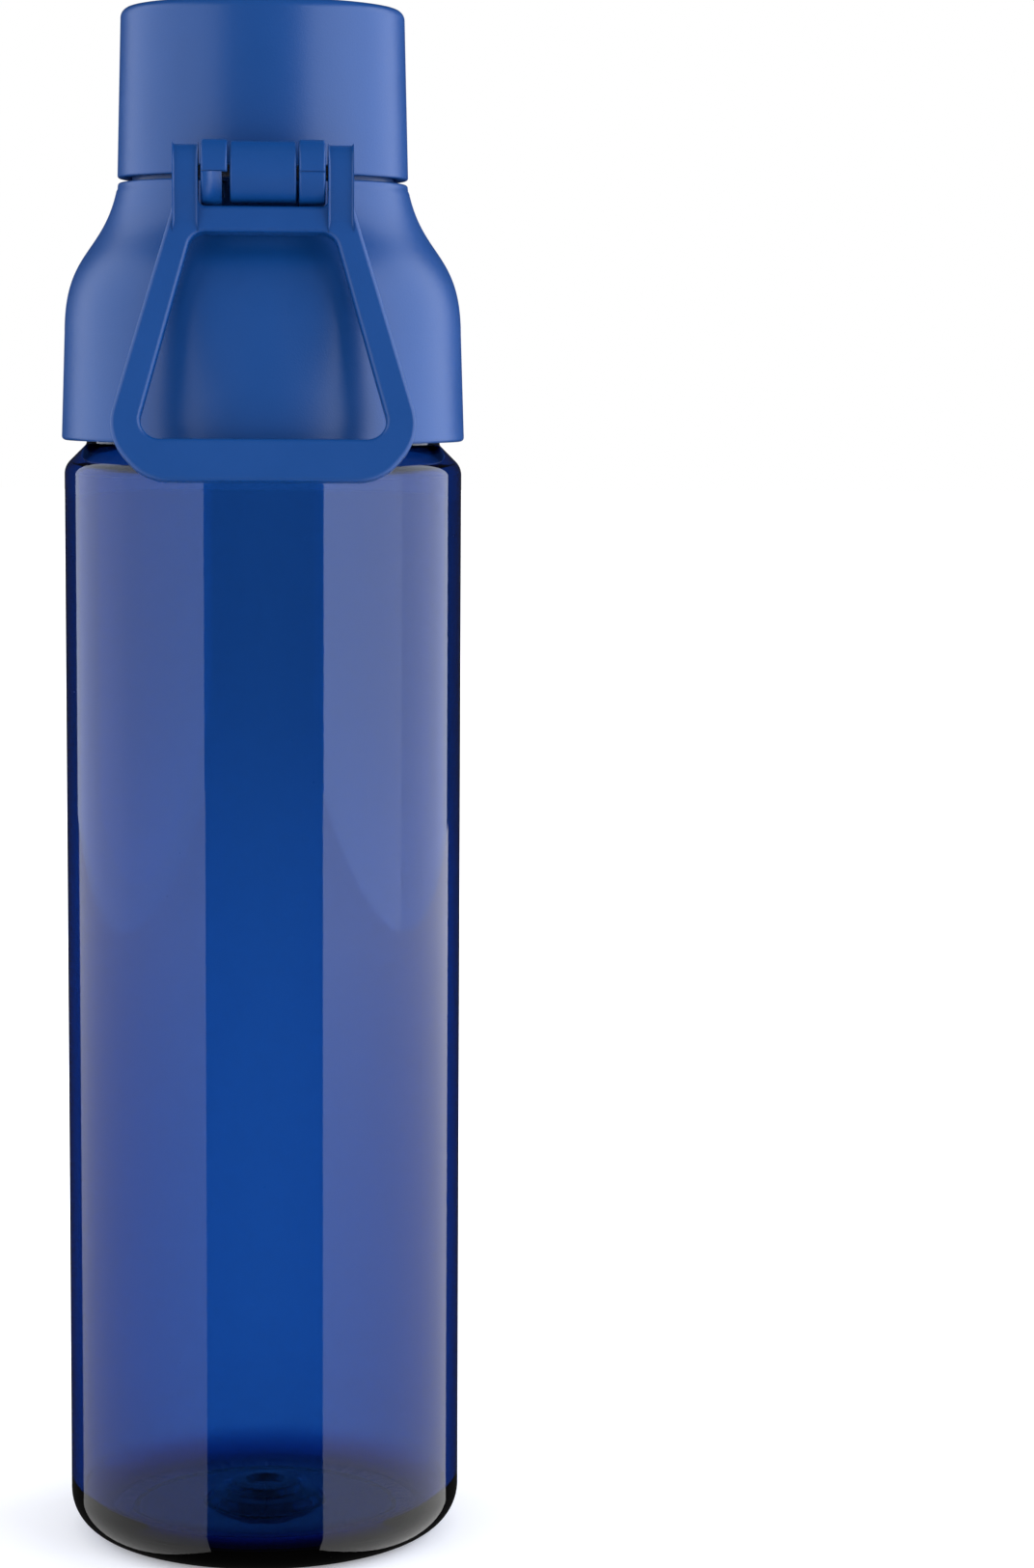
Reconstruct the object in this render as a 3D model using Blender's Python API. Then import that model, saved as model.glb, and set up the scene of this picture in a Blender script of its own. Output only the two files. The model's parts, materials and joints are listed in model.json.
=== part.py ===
"""A clear drink bottle with a screw-on collar, a flip lid, a push button, a wire lock and a carry loop.

Frame: metres, +Z up, origin in the middle of the base's foot plane.
The button faces -Y, and the hinge and carry loop are at +Y.
"""

import math

import bmesh
import bpy
from mathutils import Matrix, Vector

MM = 0.001
ROUND = 48

# Bottle body
BODY_RADIUS = 35.2 * MM
BODY_WALL = 2.0 * MM
BASE_CORNER = 7.4 * MM
BASE_THICKNESS = 4.4 * MM
FOOT_INNER_RADIUS = 24.0 * MM
CENTRE_PAD_RADIUS = 6.5 * MM
BASE_RELIEF = 0.8 * MM
NECK_EDGE = 0.6 * MM
NECK_BORE_EDGE = 0.3 * MM
# The raised middle of the base's inner floor, as (radius, height above the floor)
BASE_DOME = (
    (11.0 * MM, 0.0),
    (9.6 * MM, 1.7 * MM),
    (7.0 * MM, 2.1 * MM),
    (6.2 * MM, 3.4 * MM),
    (3.6 * MM, 3.6 * MM),
    (2.6 * MM, 2.7 * MM),
    (0.0, 2.5 * MM),
)
SHOULDER_Z = 191.3 * MM
SHOULDER_ARC = 3.4 * MM
NECK_RADIUS = 31.3 * MM
NECK_BORE = 28.9 * MM
RIM_Z = 218.5 * MM

# Screw thread between the neck and the collar
THREAD_PITCH = 5.0 * MM
THREAD_TURNS = 1.25
THREAD_START_Z = 206.5 * MM
THREAD_CREST_RADIUS = 32.6 * MM
COLLAR_THREAD_CREST = 31.7 * MM
COLLAR_THREAD_START_Z = THREAD_START_Z - 1.9 * MM
THREAD_ROOT_WIDTH = 2.0 * MM
THREAD_CREST_WIDTH = 1.2 * MM

# Collar
SKIRT_Z = 197.3 * MM
SKIRT_RADIUS = 35.65 * MM
SKIRT_BORE = 32.95 * MM
FLARE_Z = 216.0 * MM
FLARE_RADIUS = 35.03 * MM
COLLAR_TOP_Z = 242.3 * MM
COLLAR_TOP_RADIUS = 25.55 * MM
COLLAR_RIM_BORE = 23.7 * MM
DECK_Z = 236.5 * MM
DECK_THICKNESS = 2.0 * MM
SEAT_Z = 220.9 * MM
SEAT_BORE = 29.0 * MM
SPOUT_RADIUS = 14.5 * MM
SPOUT_BORE = 11.9 * MM
SPOUT_Z = 257.0 * MM
SPOUT_EDGE = 0.5 * MM
UNDER_SEAT_CONE = ((25.3 * MM, DECK_Z - DECK_THICKNESS), (28.4 * MM, 231.2 * MM), (SEAT_BORE, 229.4 * MM))
SCOOP_HALF_WIDTH = 9.5 * MM
SCOOP_LINE = ((27.3 * MM, 233.5 * MM), (32.1 * MM, 226.0 * MM), (33.6 * MM, 221.5 * MM), (35.8 * MM, 203 * MM))
GASKET_INNER_RADIUS = 29.4 * MM
GASKET_OUTER_RADIUS = 32.5 * MM
GASKET_GAP = 0.3 * MM

# Lid
LID_BOTTOM_Z = 243.1 * MM
LID_TOP_Z = 272.7 * MM
LID_BOTTOM_RADIUS = 25.6 * MM
LID_TOP_RADIUS = 24.85 * MM
LID_CORNER = 1.8 * MM
LID_WALL = 2.2 * MM
LINER_FLOOR = (259.7 * MM, 261.4 * MM)
LINER_CUP_EDGE_Z = 258.3 * MM
LINER_CUP_RADII = (15.7 * MM, 17.2 * MM)
LINER_RING_RADII = (15.4 * MM, 21.2 * MM)
LINER_RING_THICKNESS = 1.8 * MM
SEAL_LINE = (
    (0, 257.6 * MM),
    (10.8 * MM, 257.6 * MM),
    (11.6 * MM, 257.3 * MM),
    (15.0 * MM, 257.3 * MM),
    (15.4 * MM, 257.7 * MM),
    (15.4 * MM, 259.4 * MM),
    (0, 259.4 * MM),
)

# Button housing, shared by collar and lid
BOSS_HALF_WIDTH = 14.1 * MM
BOSS_RADIUS = 30.6 * MM
BOSS_TOP_Z = 251.6 * MM
BOSS_FRONT_WALL = 2.4 * MM
RECESS_CENTRE_Z = 242.45 * MM
RECESS_HALF_WIDTH = 12.3 * MM
RECESS_HALF_HEIGHT = 6.25 * MM
CAVITY_BOTTOM_Z = 235.5 * MM
CAVITY_BACK_Y = -23.6 * MM
BOSS_UPRIGHT_Z = 238.5 * MM
BOSS_LOW_Z = 222 * MM
BOSS_SHOULDER = 7.1 * MM
BOSS_CORNER = 7.0 * MM
# The housing's inner line, which lies inside the collar's wall, as (radius, z)
BOSS_INNER_LINE = (
    (24.5 * MM, 243 * MM),
    (25.5 * MM, 238.4 * MM),
    (27.1 * MM, 234.3 * MM),
    (29.9 * MM, 230.3 * MM),
    (32.1 * MM, 226.2 * MM),
    (33.2 * MM, 223.4 * MM),
)
HOOK_SLOT_X = (2.95 * MM, 6.9 * MM)
HOOK_SLOT_Y = (-28 * MM, -19 * MM)
CATCH_WINDOW_X = (2.8 * MM, 7.0 * MM)
CATCH_WINDOW_Y = (-28 * MM, -20 * MM)
CATCH_WINDOW_Z = (244.9 * MM, 247.4 * MM)
SPRING_SEAT_LOW = (-3.0 * MM, -24.4 * MM, DECK_Z - 0.5 * MM)
SPRING_SEAT_HIGH = (3.0 * MM, -21.9 * MM, COLLAR_TOP_Z - 0.1 * MM)

# Push button
BUTTON_CENTRE_Z = 242.15 * MM
BUTTON_HALF_WIDTH = 11.65 * MM
BUTTON_HALF_HEIGHT = 5.35 * MM
BUTTON_RADIUS = 30.0 * MM
BUTTON_BACK_RADIUS = 28.0 * MM
ARM_INNER_X = 3.4 * MM
ARM_OUTER_X = 6.4 * MM
CHEEK_INNER_X = 9.4 * MM
CHEEK_OUTER_X = 11.3 * MM
CHEEK_RADIUS = 1.6 * MM
# The latch hook's side view, as (y, z)
HOOK_LINE = (
    (-28.7 * MM, 237.9 * MM),
    (-20.5 * MM, 237.9 * MM),
    (-20.5 * MM, 246.9 * MM),
    (-21.9 * MM, 246.9 * MM),
    (-23.4 * MM, 246.3 * MM),
    (-23.4 * MM, 245.2 * MM),
    (-21.9 * MM, 245.2 * MM),
    (-21.9 * MM, 241.3 * MM),
    (-28.7 * MM, 241.3 * MM),
)
# Where the cheek over the pivot joins the button's back, as (y, z)
CHEEK_ROOT = ((-26.8 * MM, 242.0 * MM), (-27.3 * MM, 242.0 * MM), (-27.3 * MM, 238.9 * MM))
CHEEK_TOP_Z = 240.2 * MM
BUTTON_SPRING_Y = (-27.4 * MM, -24.95 * MM)
BUTTON_SPRING_Z = 241.4 * MM
BUTTON_SPRING_RADIUS = 1.5 * MM
BUTTON_SPRING_WIRE = 0.22 * MM
BUTTON_SPRING_TURNS = 3

# Front pivot, shared by the button and the wire bail
FRONT_PIVOT = Vector((0, -25.6, 237.6)) * MM
BAIL_WIRE_RADIUS = 0.65 * MM
BAIL_HALF_WIDTH = 15.9 * MM
BAIL_LENGTH = 16.4 * MM
BAIL_STRAIGHT = 8.3 * MM
BAIL_BAR_HALF = 8.1 * MM
BAIL_TIP_X = 9.7 * MM
BAIL_BEND = 1.2 * MM
BAIL_LEAN = math.radians(35.2)
PIVOT_HOLE_RADIUS = 0.75 * MM

# Rear hinge, shared by the lid and the carry handle
REAR_PIVOT = Vector((0, 32.0, 242.8)) * MM
PIN_RADIUS = 1.45 * MM
PIN_HALF_LENGTH = 14.9 * MM
PIN_HOLE_RADIUS = 1.55 * MM
COLLAR_EAR_RADIUS = 5.55 * MM
COLLAR_EAR_INNER_X = 6.0 * MM
COLLAR_EAR_OUTER_X = 10.4 * MM
KNUCKLE_RADIUS = 5.2 * MM
KNUCKLE_HALF_WIDTH = 5.6 * MM
SPRING_POCKET_RADIUS = 3.3 * MM
SPRING_POCKET_X = (-9 * MM, -0.6 * MM)
TORSION_SPRING_X = (-4.6 * MM, -1.4 * MM)
TORSION_SPRING_RADIUS = 2.35 * MM
TORSION_SPRING_WIRE = 0.35 * MM
TORSION_SPRING_TURNS = 4
# Cutters reach this far past what they cut
REACH = 40 * MM

# Carry handle, drawn in its own plane as x across and s down from the pin
HANDLE_LEAN = math.radians(8.2)
HANDLE_THICKNESS = 4.6 * MM
HANDLE_EAR_RADIUS = 4.6 * MM
HANDLE_EAR_INNER_X = 10.9 * MM
HANDLE_TOP_HALF = 15.2 * MM
HANDLE_WIDE_HALF = 26.5 * MM
HANDLE_WIDE_S = 41.0 * MM
HANDLE_LENGTH = 52.3 * MM
HANDLE_CORNER = 10.0 * MM
HANDLE_NOTCH_S = 6.0 * MM
WINDOW_TOP_S = 10.4 * MM
WINDOW_BOTTOM_S = 45.2 * MM
WINDOW_TOP_HALF = 12.0 * MM
WINDOW_WIDE_HALF = 21.3 * MM
WINDOW_CORNER = 3.0 * MM

COLOURS = {
    "clear_blue": ((0.02, 0.07, 0.25, 1), 0.05, 0.0),
    "matte_blue": ((0.035, 0.11, 0.30, 1), 0.45, 0.0),
    "grey_silicone": ((0.55, 0.57, 0.60, 1), 0.6, 0.0),
    "bright_wire": ((0.65, 0.65, 0.66, 1), 0.2, 1.0),
    "spring_steel": ((0.65, 0.65, 0.66, 1), 0.2, 1.0),
}


def clear_scene():
    for thing in list(bpy.data.objects):
        bpy.data.objects.remove(thing, do_unlink=True)


def material(name):
    found = bpy.data.materials.get(name)
    if found:
        return found
    colour, roughness, metallic = COLOURS[name]
    made = bpy.data.materials.new(name)
    made.use_nodes = True
    shader = made.node_tree.nodes["Principled BSDF"]
    shader.inputs["Base Color"].default_value = colour
    shader.inputs["Roughness"].default_value = roughness
    shader.inputs["Metallic"].default_value = metallic
    return made


def add_object(name, bm, finish=None):
    """Makes an object from closed bmesh geometry; without a finish it is a hidden cutter or guide."""
    bmesh.ops.recalc_face_normals(bm, faces=bm.faces)
    mesh = bpy.data.meshes.new(name)
    bm.to_mesh(mesh)
    bm.free()
    thing = bpy.data.objects.new(name, mesh)
    bpy.context.scene.collection.objects.link(thing)
    if finish:
        mesh.materials.append(material(finish))
        mesh.shade_smooth()
        mesh.set_sharp_from_angle(angle=math.radians(35))
    else:
        thing.hide_render = True
        thing.display_type = "WIRE"
    return thing


def arc(centre, radius, start, end, steps):
    """Points on a circular arc, angles in degrees anticlockwise from the first coordinate's axis."""
    angles = [math.radians(start + (end - start) * i / steps) for i in range(steps + 1)]
    return [(centre[0] + radius * math.cos(a), centre[1] + radius * math.sin(a)) for a in angles]


def bezier(start, first, second, end, steps):
    """Points on a cubic curve."""
    points = []
    for i in range(steps + 1):
        t = i / steps
        weights = ((1 - t) ** 3, 3 * t * (1 - t) ** 2, 3 * t * t * (1 - t), t**3)
        corners = (start, first, second, end)
        points.append(tuple(sum(w * c[k] for w, c in zip(weights, corners)) for k in (0, 1)))
    return points


def lathe(name, outline, finish=None, segments=ROUND):
    """Turns a closed outline of (radius, z) points round the Z axis."""
    bm = bmesh.new()
    rings = []
    for radius, z in outline:
        count = segments if radius > 1e-6 else 1
        angles = [2 * math.pi * i / segments for i in range(count)]
        rings.append([bm.verts.new((radius * math.cos(a), radius * math.sin(a), z)) for a in angles])
    for ring, after in zip(rings, rings[1:] + rings[:1]):
        for i in range(segments):
            j = i + 1
            corners = (
                ring[i % len(ring)],
                after[i % len(after)],
                after[j % len(after)],
                ring[j % len(ring)],
            )
            corners = list(dict.fromkeys(corners))
            if len(corners) > 2:
                bm.faces.new(corners)
    return add_object(name, bm, finish)


def prism(name, outline, axis, low, high, finish=None):
    """Extrudes a flat outline along X, given as (y, z) points, or along Y, given as (x, z) points."""
    bm = bmesh.new()
    ends = []
    for depth in (low, high):
        if axis == "X":
            ends.append([bm.verts.new((depth, a, b)) for a, b in outline])
        else:
            ends.append([bm.verts.new((a, depth, b)) for a, b in outline])
    bm.faces.new(ends[0])
    bm.faces.new(list(reversed(ends[1])))
    for i in range(len(outline)):
        j = (i + 1) % len(outline)
        bm.faces.new((ends[0][i], ends[0][j], ends[1][j], ends[1][i]))
    return add_object(name, bm, finish)


def block(name, low, high):
    """A hidden box between two corners."""
    corners = [(low[0], low[2]), (high[0], low[2]), (high[0], high[2]), (low[0], high[2])]
    return prism(name, corners, "Y", low[1], high[1])


def rod(name, centre, radius, low_x, high_x, finish=None, sides=20):
    """A cylinder along X."""
    outline = arc((centre[1], centre[2]), radius, 0, 360 * (sides - 1) / sides, sides - 1)
    return prism(name, outline, "X", low_x, high_x, finish)


def stadium(centre_z, half_width, half_height, steps=8):
    """An oval with two straight sides and round ends, as (x, z) points."""
    reach = half_width - half_height
    right = arc((reach, centre_z), half_height, -90, 90, steps)
    left = arc((-reach, centre_z), half_height, 90, 270, steps)
    return right + left


def both_sides(near, far):
    """The X range on each side of the middle plane: (side, low, high)."""
    for side in (-1, 1):
        low, high = sorted((side * near, side * far))
        yield side, low, high


def combine(thing, other, operation):
    """Adds a Boolean of one object with another."""
    step = thing.modifiers.new(f"{operation} {other.name}", "BOOLEAN")
    step.operation = operation
    step.solver = "EXACT"
    step.object = other
    return thing


def helix_ridge(name, root, crest, start_z):
    """A thread ridge: a four-sided section carried up a helix, its height fading out at both ends."""
    bm = bmesh.new()
    steps = int(30 * THREAD_TURNS)
    sections = []
    for i in range(steps + 1):
        turn = THREAD_TURNS * i / steps
        angle = 2 * math.pi * turn
        z = start_z + THREAD_PITCH * turn
        height = min(1.0, 0.25 + 6 * min(turn, THREAD_TURNS - turn))
        tip = root + (crest - root) * height
        corners = (
            (root, z - THREAD_ROOT_WIDTH / 2),
            (tip, z - THREAD_CREST_WIDTH / 2),
            (tip, z + THREAD_CREST_WIDTH / 2),
            (root, z + THREAD_ROOT_WIDTH / 2),
        )
        sections.append([bm.verts.new((r * math.cos(angle), r * math.sin(angle), h)) for r, h in corners])
    for one, two in zip(sections, sections[1:]):
        for k in range(4):
            m = (k + 1) % 4
            bm.faces.new((one[k], one[m], two[m], two[k]))
    bm.faces.new(sections[0])
    bm.faces.new(list(reversed(sections[-1])))
    return add_object(name, bm)


def wire(name, points, radius, finish, resolution=2):
    """A round wire along points, with closed ends."""
    curve = bpy.data.curves.new(name, "CURVE")
    curve.dimensions = "3D"
    curve.bevel_depth = radius
    curve.bevel_resolution = resolution
    curve.use_fill_caps = True
    spline = curve.splines.new("POLY")
    spline.points.add(len(points) - 1)
    for point, place in zip(spline.points, points):
        point.co = (*place, 1)
    curve.materials.append(material(finish))
    thing = bpy.data.objects.new(name, curve)
    bpy.context.scene.collection.objects.link(thing)
    return thing


def pivot(name, place):
    """An empty on a joint's axis, which carries the pieces that move with it."""
    empty = bpy.data.objects.new(name, None)
    empty.location = place
    bpy.context.scene.collection.objects.link(empty)
    return empty


def carry(empty, *pieces):
    for piece in pieces:
        piece.parent = empty
        piece.matrix_parent_inverse = Matrix.Translation(-empty.location)


def make_bottle_body():
    foot = BODY_RADIUS - BASE_CORNER
    inner = BODY_RADIUS - BODY_WALL
    cone_r = BODY_RADIUS - SHOULDER_ARC * (1 - math.cos(math.radians(45)))
    cone_z = SHOULDER_Z + SHOULDER_ARC * math.sin(math.radians(45))
    outline = [(0, 0), (CENTRE_PAD_RADIUS, 0), (CENTRE_PAD_RADIUS + BASE_RELIEF, BASE_RELIEF)]
    outline += [(FOOT_INNER_RADIUS - BASE_RELIEF, BASE_RELIEF), (FOOT_INNER_RADIUS, 0)]
    outline += arc((foot, BASE_CORNER), BASE_CORNER, -90, 0, 7)
    outline += arc((BODY_RADIUS - SHOULDER_ARC, SHOULDER_Z), SHOULDER_ARC, 0, 45, 3)
    outline += [(NECK_RADIUS, cone_z + cone_r - NECK_RADIUS), (NECK_RADIUS, RIM_Z - NECK_EDGE)]
    outline += [(NECK_RADIUS - NECK_EDGE, RIM_Z), (NECK_BORE + NECK_BORE_EDGE, RIM_Z)]
    outline += [(NECK_BORE, RIM_Z - NECK_BORE_EDGE)]
    outline += [(NECK_BORE, cone_z + 1.5 * MM), (inner - 1.2 * MM, SHOULDER_Z + 0.6 * MM)]
    outline += [(inner, SHOULDER_Z - 2.0 * MM)]
    inner_corner = BASE_CORNER - BODY_WALL
    outline += reversed(arc((foot, BASE_THICKNESS + inner_corner), inner_corner, -90, 0, 5))
    outline += [(radius, BASE_THICKNESS + height) for radius, height in BASE_DOME]
    body = lathe("bottle_body", outline, "clear_blue")
    ridge = helix_ridge("neck_thread", NECK_RADIUS - 0.5 * MM, THREAD_CREST_RADIUS, THREAD_START_Z)
    return combine(body, ridge, "UNION")


def collar_outside():
    """The collar's outer line from the skirt's edge up to its top edge."""
    skirt = [(SKIRT_RADIUS - 0.3 * MM, SKIRT_Z), (SKIRT_RADIUS, SKIRT_Z + 0.4 * MM)]
    flare = bezier(
        (FLARE_RADIUS, FLARE_Z),
        (FLARE_RADIUS, FLARE_Z + 14.9 * MM),
        (COLLAR_TOP_RADIUS + 2.4 * MM, FLARE_Z + 13.5 * MM),
        (COLLAR_TOP_RADIUS, COLLAR_TOP_Z - 0.3 * MM),
        12,
    )
    return skirt + flare + [(COLLAR_TOP_RADIUS - 0.3 * MM, COLLAR_TOP_Z)]


def collar_inside():
    """The collar's inner line from its top edge down, round the spout, and down to the skirt's edge."""
    line = [(COLLAR_RIM_BORE, COLLAR_TOP_Z), (COLLAR_RIM_BORE, DECK_Z), (SPOUT_RADIUS + 0.4 * MM, DECK_Z)]
    line += [(SPOUT_RADIUS, SPOUT_Z - 0.6 * MM), (SPOUT_RADIUS - SPOUT_EDGE, SPOUT_Z)]
    line += [(SPOUT_BORE + SPOUT_EDGE, SPOUT_Z), (SPOUT_BORE, SPOUT_Z - SPOUT_EDGE)]
    line += [(SPOUT_BORE, DECK_Z - DECK_THICKNESS), *UNDER_SEAT_CONE]
    line += [(SEAT_BORE, SEAT_Z), (SKIRT_BORE, SEAT_Z), (SKIRT_BORE, SKIRT_Z + 0.5 * MM)]
    return line + [(SKIRT_BORE + 0.5 * MM, SKIRT_Z)]


def boss_front(low_z, high_z):
    """The round front line of the button housing: upright above, easing out to meet the collar's flare."""
    ease = bezier(
        (FLARE_RADIUS - 0.9 * MM, 223.6 * MM),
        (FLARE_RADIUS - 2.9 * MM, 228.5 * MM),
        (BOSS_RADIUS, 231.5 * MM),
        (BOSS_RADIUS, BOSS_UPRIGHT_Z),
        6,
    )
    line = [(r, z) for r, z in ease if z > low_z]
    return line + [(BOSS_RADIUS, max(low_z, BOSS_UPRIGHT_Z) + MM / 2), (BOSS_RADIUS - 0.2 * MM, high_z)]


def make_collar_shell():
    shell = lathe("collar_shell", collar_outside() + collar_inside(), "matte_blue")
    ridge = helix_ridge("collar_thread", SKIRT_BORE + 0.5 * MM, COLLAR_THREAD_CREST, COLLAR_THREAD_START_Z)
    combine(shell, ridge, "UNION")
    boss_top = COLLAR_TOP_Z - 0.05 * MM
    outline = [(-BOSS_HALF_WIDTH, BOSS_LOW_Z), (BOSS_HALF_WIDTH, BOSS_LOW_Z)]
    outline += [(BOSS_HALF_WIDTH, boss_top), (-BOSS_HALF_WIDTH, boss_top)]
    boss = prism("collar_boss", outline, "Y", -REACH, -15 * MM)
    front_line = boss_front(223 * MM, 243 * MM)
    form = lathe("collar_boss_form", [*front_line, *BOSS_INNER_LINE], segments=2 * ROUND)
    combine(shell, combine(boss, form, "INTERSECT"), "UNION")
    for side, low, high in both_sides(COLLAR_EAR_INNER_X, COLLAR_EAR_OUTER_X):
        combine(shell, make_collar_ear(side, low, high), "UNION")
    front = BOSS_RADIUS - BOSS_FRONT_WALL
    cavity = block(
        "collar_cavity",
        (-RECESS_HALF_WIDTH, -front, CAVITY_BOTTOM_Z),
        (RECESS_HALF_WIDTH, CAVITY_BACK_Y, COLLAR_TOP_Z + 2 * MM),
    )
    combine(shell, cavity, "DIFFERENCE")
    oval = stadium(RECESS_CENTRE_Z, RECESS_HALF_WIDTH, RECESS_HALF_HEIGHT)
    combine(shell, prism("collar_recess", oval, "Y", -REACH, -front + 0.5 * MM), "DIFFERENCE")
    combine(shell, block("spring_seat", SPRING_SEAT_LOW, SPRING_SEAT_HIGH), "UNION")
    for side, low, high in both_sides(*HOOK_SLOT_X):
        slot_low = (low, HOOK_SLOT_Y[0], DECK_Z + 0.3 * MM)
        slot_high = (high, HOOK_SLOT_Y[1], COLLAR_TOP_Z + MM)
        combine(shell, block(f"arm_slot_{side}", slot_low, slot_high), "DIFFERENCE")
    bail_hole = rod("bail_hole", FRONT_PIVOT, PIVOT_HOLE_RADIUS, -20 * MM, 20 * MM, sides=14)
    combine(shell, bail_hole, "DIFFERENCE")
    pin_hole = rod("collar_pin_hole", REAR_PIVOT, PIN_HOLE_RADIUS, -20 * MM, 20 * MM, sides=16)
    combine(shell, pin_hole, "DIFFERENCE")
    combine(shell, make_finger_scoop(), "DIFFERENCE")
    return shell


def make_collar_ear(side, low, high):
    """One round ear of the rear hinge, on a web that runs into the flare."""
    y, z = REAR_PIVOT.y, REAR_PIVOT.z
    outline = arc((y, z), COLLAR_EAR_RADIUS, -95, 165, 14)
    outline += [(y - COLLAR_EAR_RADIUS, z - 1.5 * MM), (24.4 * MM, z - 1.5 * MM)]
    outline += [(24.4 * MM, z - COLLAR_EAR_RADIUS)]
    return prism(f"collar_ear_{side}", outline, "X", low, high)


def make_finger_scoop():
    """A shallow hollow in the flare and skirt behind the loop, deepest under the hinge and fading out below."""
    outside = 45 * MM
    line = [*SCOOP_LINE, (outside, SCOOP_LINE[-1][1]), (outside, SCOOP_LINE[0][1])]
    return prism("finger_scoop", line, "X", -SCOOP_HALF_WIDTH, SCOOP_HALF_WIDTH)


def make_collar_gasket():
    low = RIM_Z + GASKET_GAP
    high = SEAT_Z - GASKET_GAP
    outline = [(GASKET_INNER_RADIUS, low), (GASKET_OUTER_RADIUS, low)]
    outline += [(GASKET_OUTER_RADIUS, high), (GASKET_INNER_RADIUS, high)]
    return lathe("collar_gasket", outline, "grey_silicone")


def make_lid_shell():
    inner_top = LID_TOP_RADIUS - LID_WALL + 0.2 * MM
    inner_bottom = LID_BOTTOM_RADIUS - LID_WALL
    roof = LID_TOP_Z - LID_WALL
    outline = [(LID_BOTTOM_RADIUS - 0.2 * MM, LID_BOTTOM_Z), (LID_BOTTOM_RADIUS, LID_BOTTOM_Z + 0.3 * MM)]
    outline += arc((LID_TOP_RADIUS - LID_CORNER, LID_TOP_Z - LID_CORNER), LID_CORNER, 0, 90, 4)
    outline += [(0, LID_TOP_Z), (0, roof), (inner_top - MM, roof), (inner_top, roof - MM)]
    outline += [(inner_bottom, LID_BOTTOM_Z)]
    lid = lathe("lid_shell", outline, "matte_blue")
    foot = LID_BOTTOM_Z + 0.05 * MM
    rise = BOSS_TOP_Z - foot
    corner = [(BOSS_SHOULDER + BOSS_CORNER * math.cos(a), foot + rise * math.sin(a)) for a in quarter(6)]
    arch = corner + [(-x, z) for x, z in reversed(corner)]
    boss = prism("lid_boss", arch, "Y", -REACH, -15 * MM)
    inside_wall = [(24.3 * MM, 253 * MM), (24.3 * MM, 240 * MM)]
    form = lathe("lid_boss_form", boss_front(239 * MM, 253 * MM) + inside_wall, segments=2 * ROUND)
    combine(boss, form, "INTERSECT")
    oval = stadium(RECESS_CENTRE_Z, RECESS_HALF_WIDTH, RECESS_HALF_HEIGHT)
    notch = prism("lid_notch", oval, "Y", -41 * MM, -20 * MM)
    keep = lathe("lid_notch_keep", [(0, 230 * MM), (25.5 * MM, 230 * MM), (25.5 * MM, 260 * MM), (0, 260 * MM)])
    combine(notch, keep, "DIFFERENCE")
    combine(lid, boss, "UNION")
    combine(lid, notch, "DIFFERENCE")
    for side, low, high in both_sides(*CATCH_WINDOW_X):
        window_low = (low, CATCH_WINDOW_Y[0], CATCH_WINDOW_Z[0])
        window_high = (high, CATCH_WINDOW_Y[1], CATCH_WINDOW_Z[1])
        combine(lid, block(f"catch_window_{side}", window_low, window_high), "DIFFERENCE")
    combine(lid, make_lid_knuckle(), "UNION")
    combine(lid, rod("lid_pin_hole", REAR_PIVOT, PIN_HOLE_RADIUS, -9 * MM, 9 * MM, sides=16), "DIFFERENCE")
    pocket = rod("spring_pocket", REAR_PIVOT, SPRING_POCKET_RADIUS, *SPRING_POCKET_X, sides=18)
    combine(lid, pocket, "DIFFERENCE")
    return lid


def make_lid_knuckle():
    """The hinge's middle barrel, on a web that runs into the lid's wall."""
    y, z = REAR_PIVOT.y, REAR_PIVOT.z
    low = LID_BOTTOM_Z + 0.1 * MM
    outline = arc((y, z), KNUCKLE_RADIUS, -175, 120, 16)
    outline += [(24.2 * MM, z + 4.6 * MM), (24.2 * MM, low), (26.6 * MM, low)]
    return prism("lid_knuckle", outline, "X", -KNUCKLE_HALF_WIDTH, KNUCKLE_HALF_WIDTH)


def quarter(steps):
    """Angles from 0 to a quarter turn."""
    return [math.pi / 2 * i / steps for i in range(steps + 1)]


def make_lid_liner():
    """The seal's carrier: a cup that hangs from a ring under the lid's roof."""
    high = LID_TOP_Z - LID_WALL - 0.3 * MM
    floor, top = LINER_FLOOR
    cup_in, cup_out = LINER_CUP_RADII
    ring_in, ring_out = LINER_RING_RADII
    under_ring = high - LINER_RING_THICKNESS
    outline = [(0, floor), (cup_in, floor), (cup_in, LINER_CUP_EDGE_Z), (cup_out, LINER_CUP_EDGE_Z)]
    outline += [(cup_out, under_ring), (ring_out, under_ring), (ring_out, high)]
    outline += [(ring_in, high), (ring_in, top), (0, top)]
    return lathe("lid_liner", outline, "grey_silicone", segments=36)


def make_spout_seal():
    return lathe("spout_seal", SEAL_LINE, "grey_silicone", segments=36)


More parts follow.
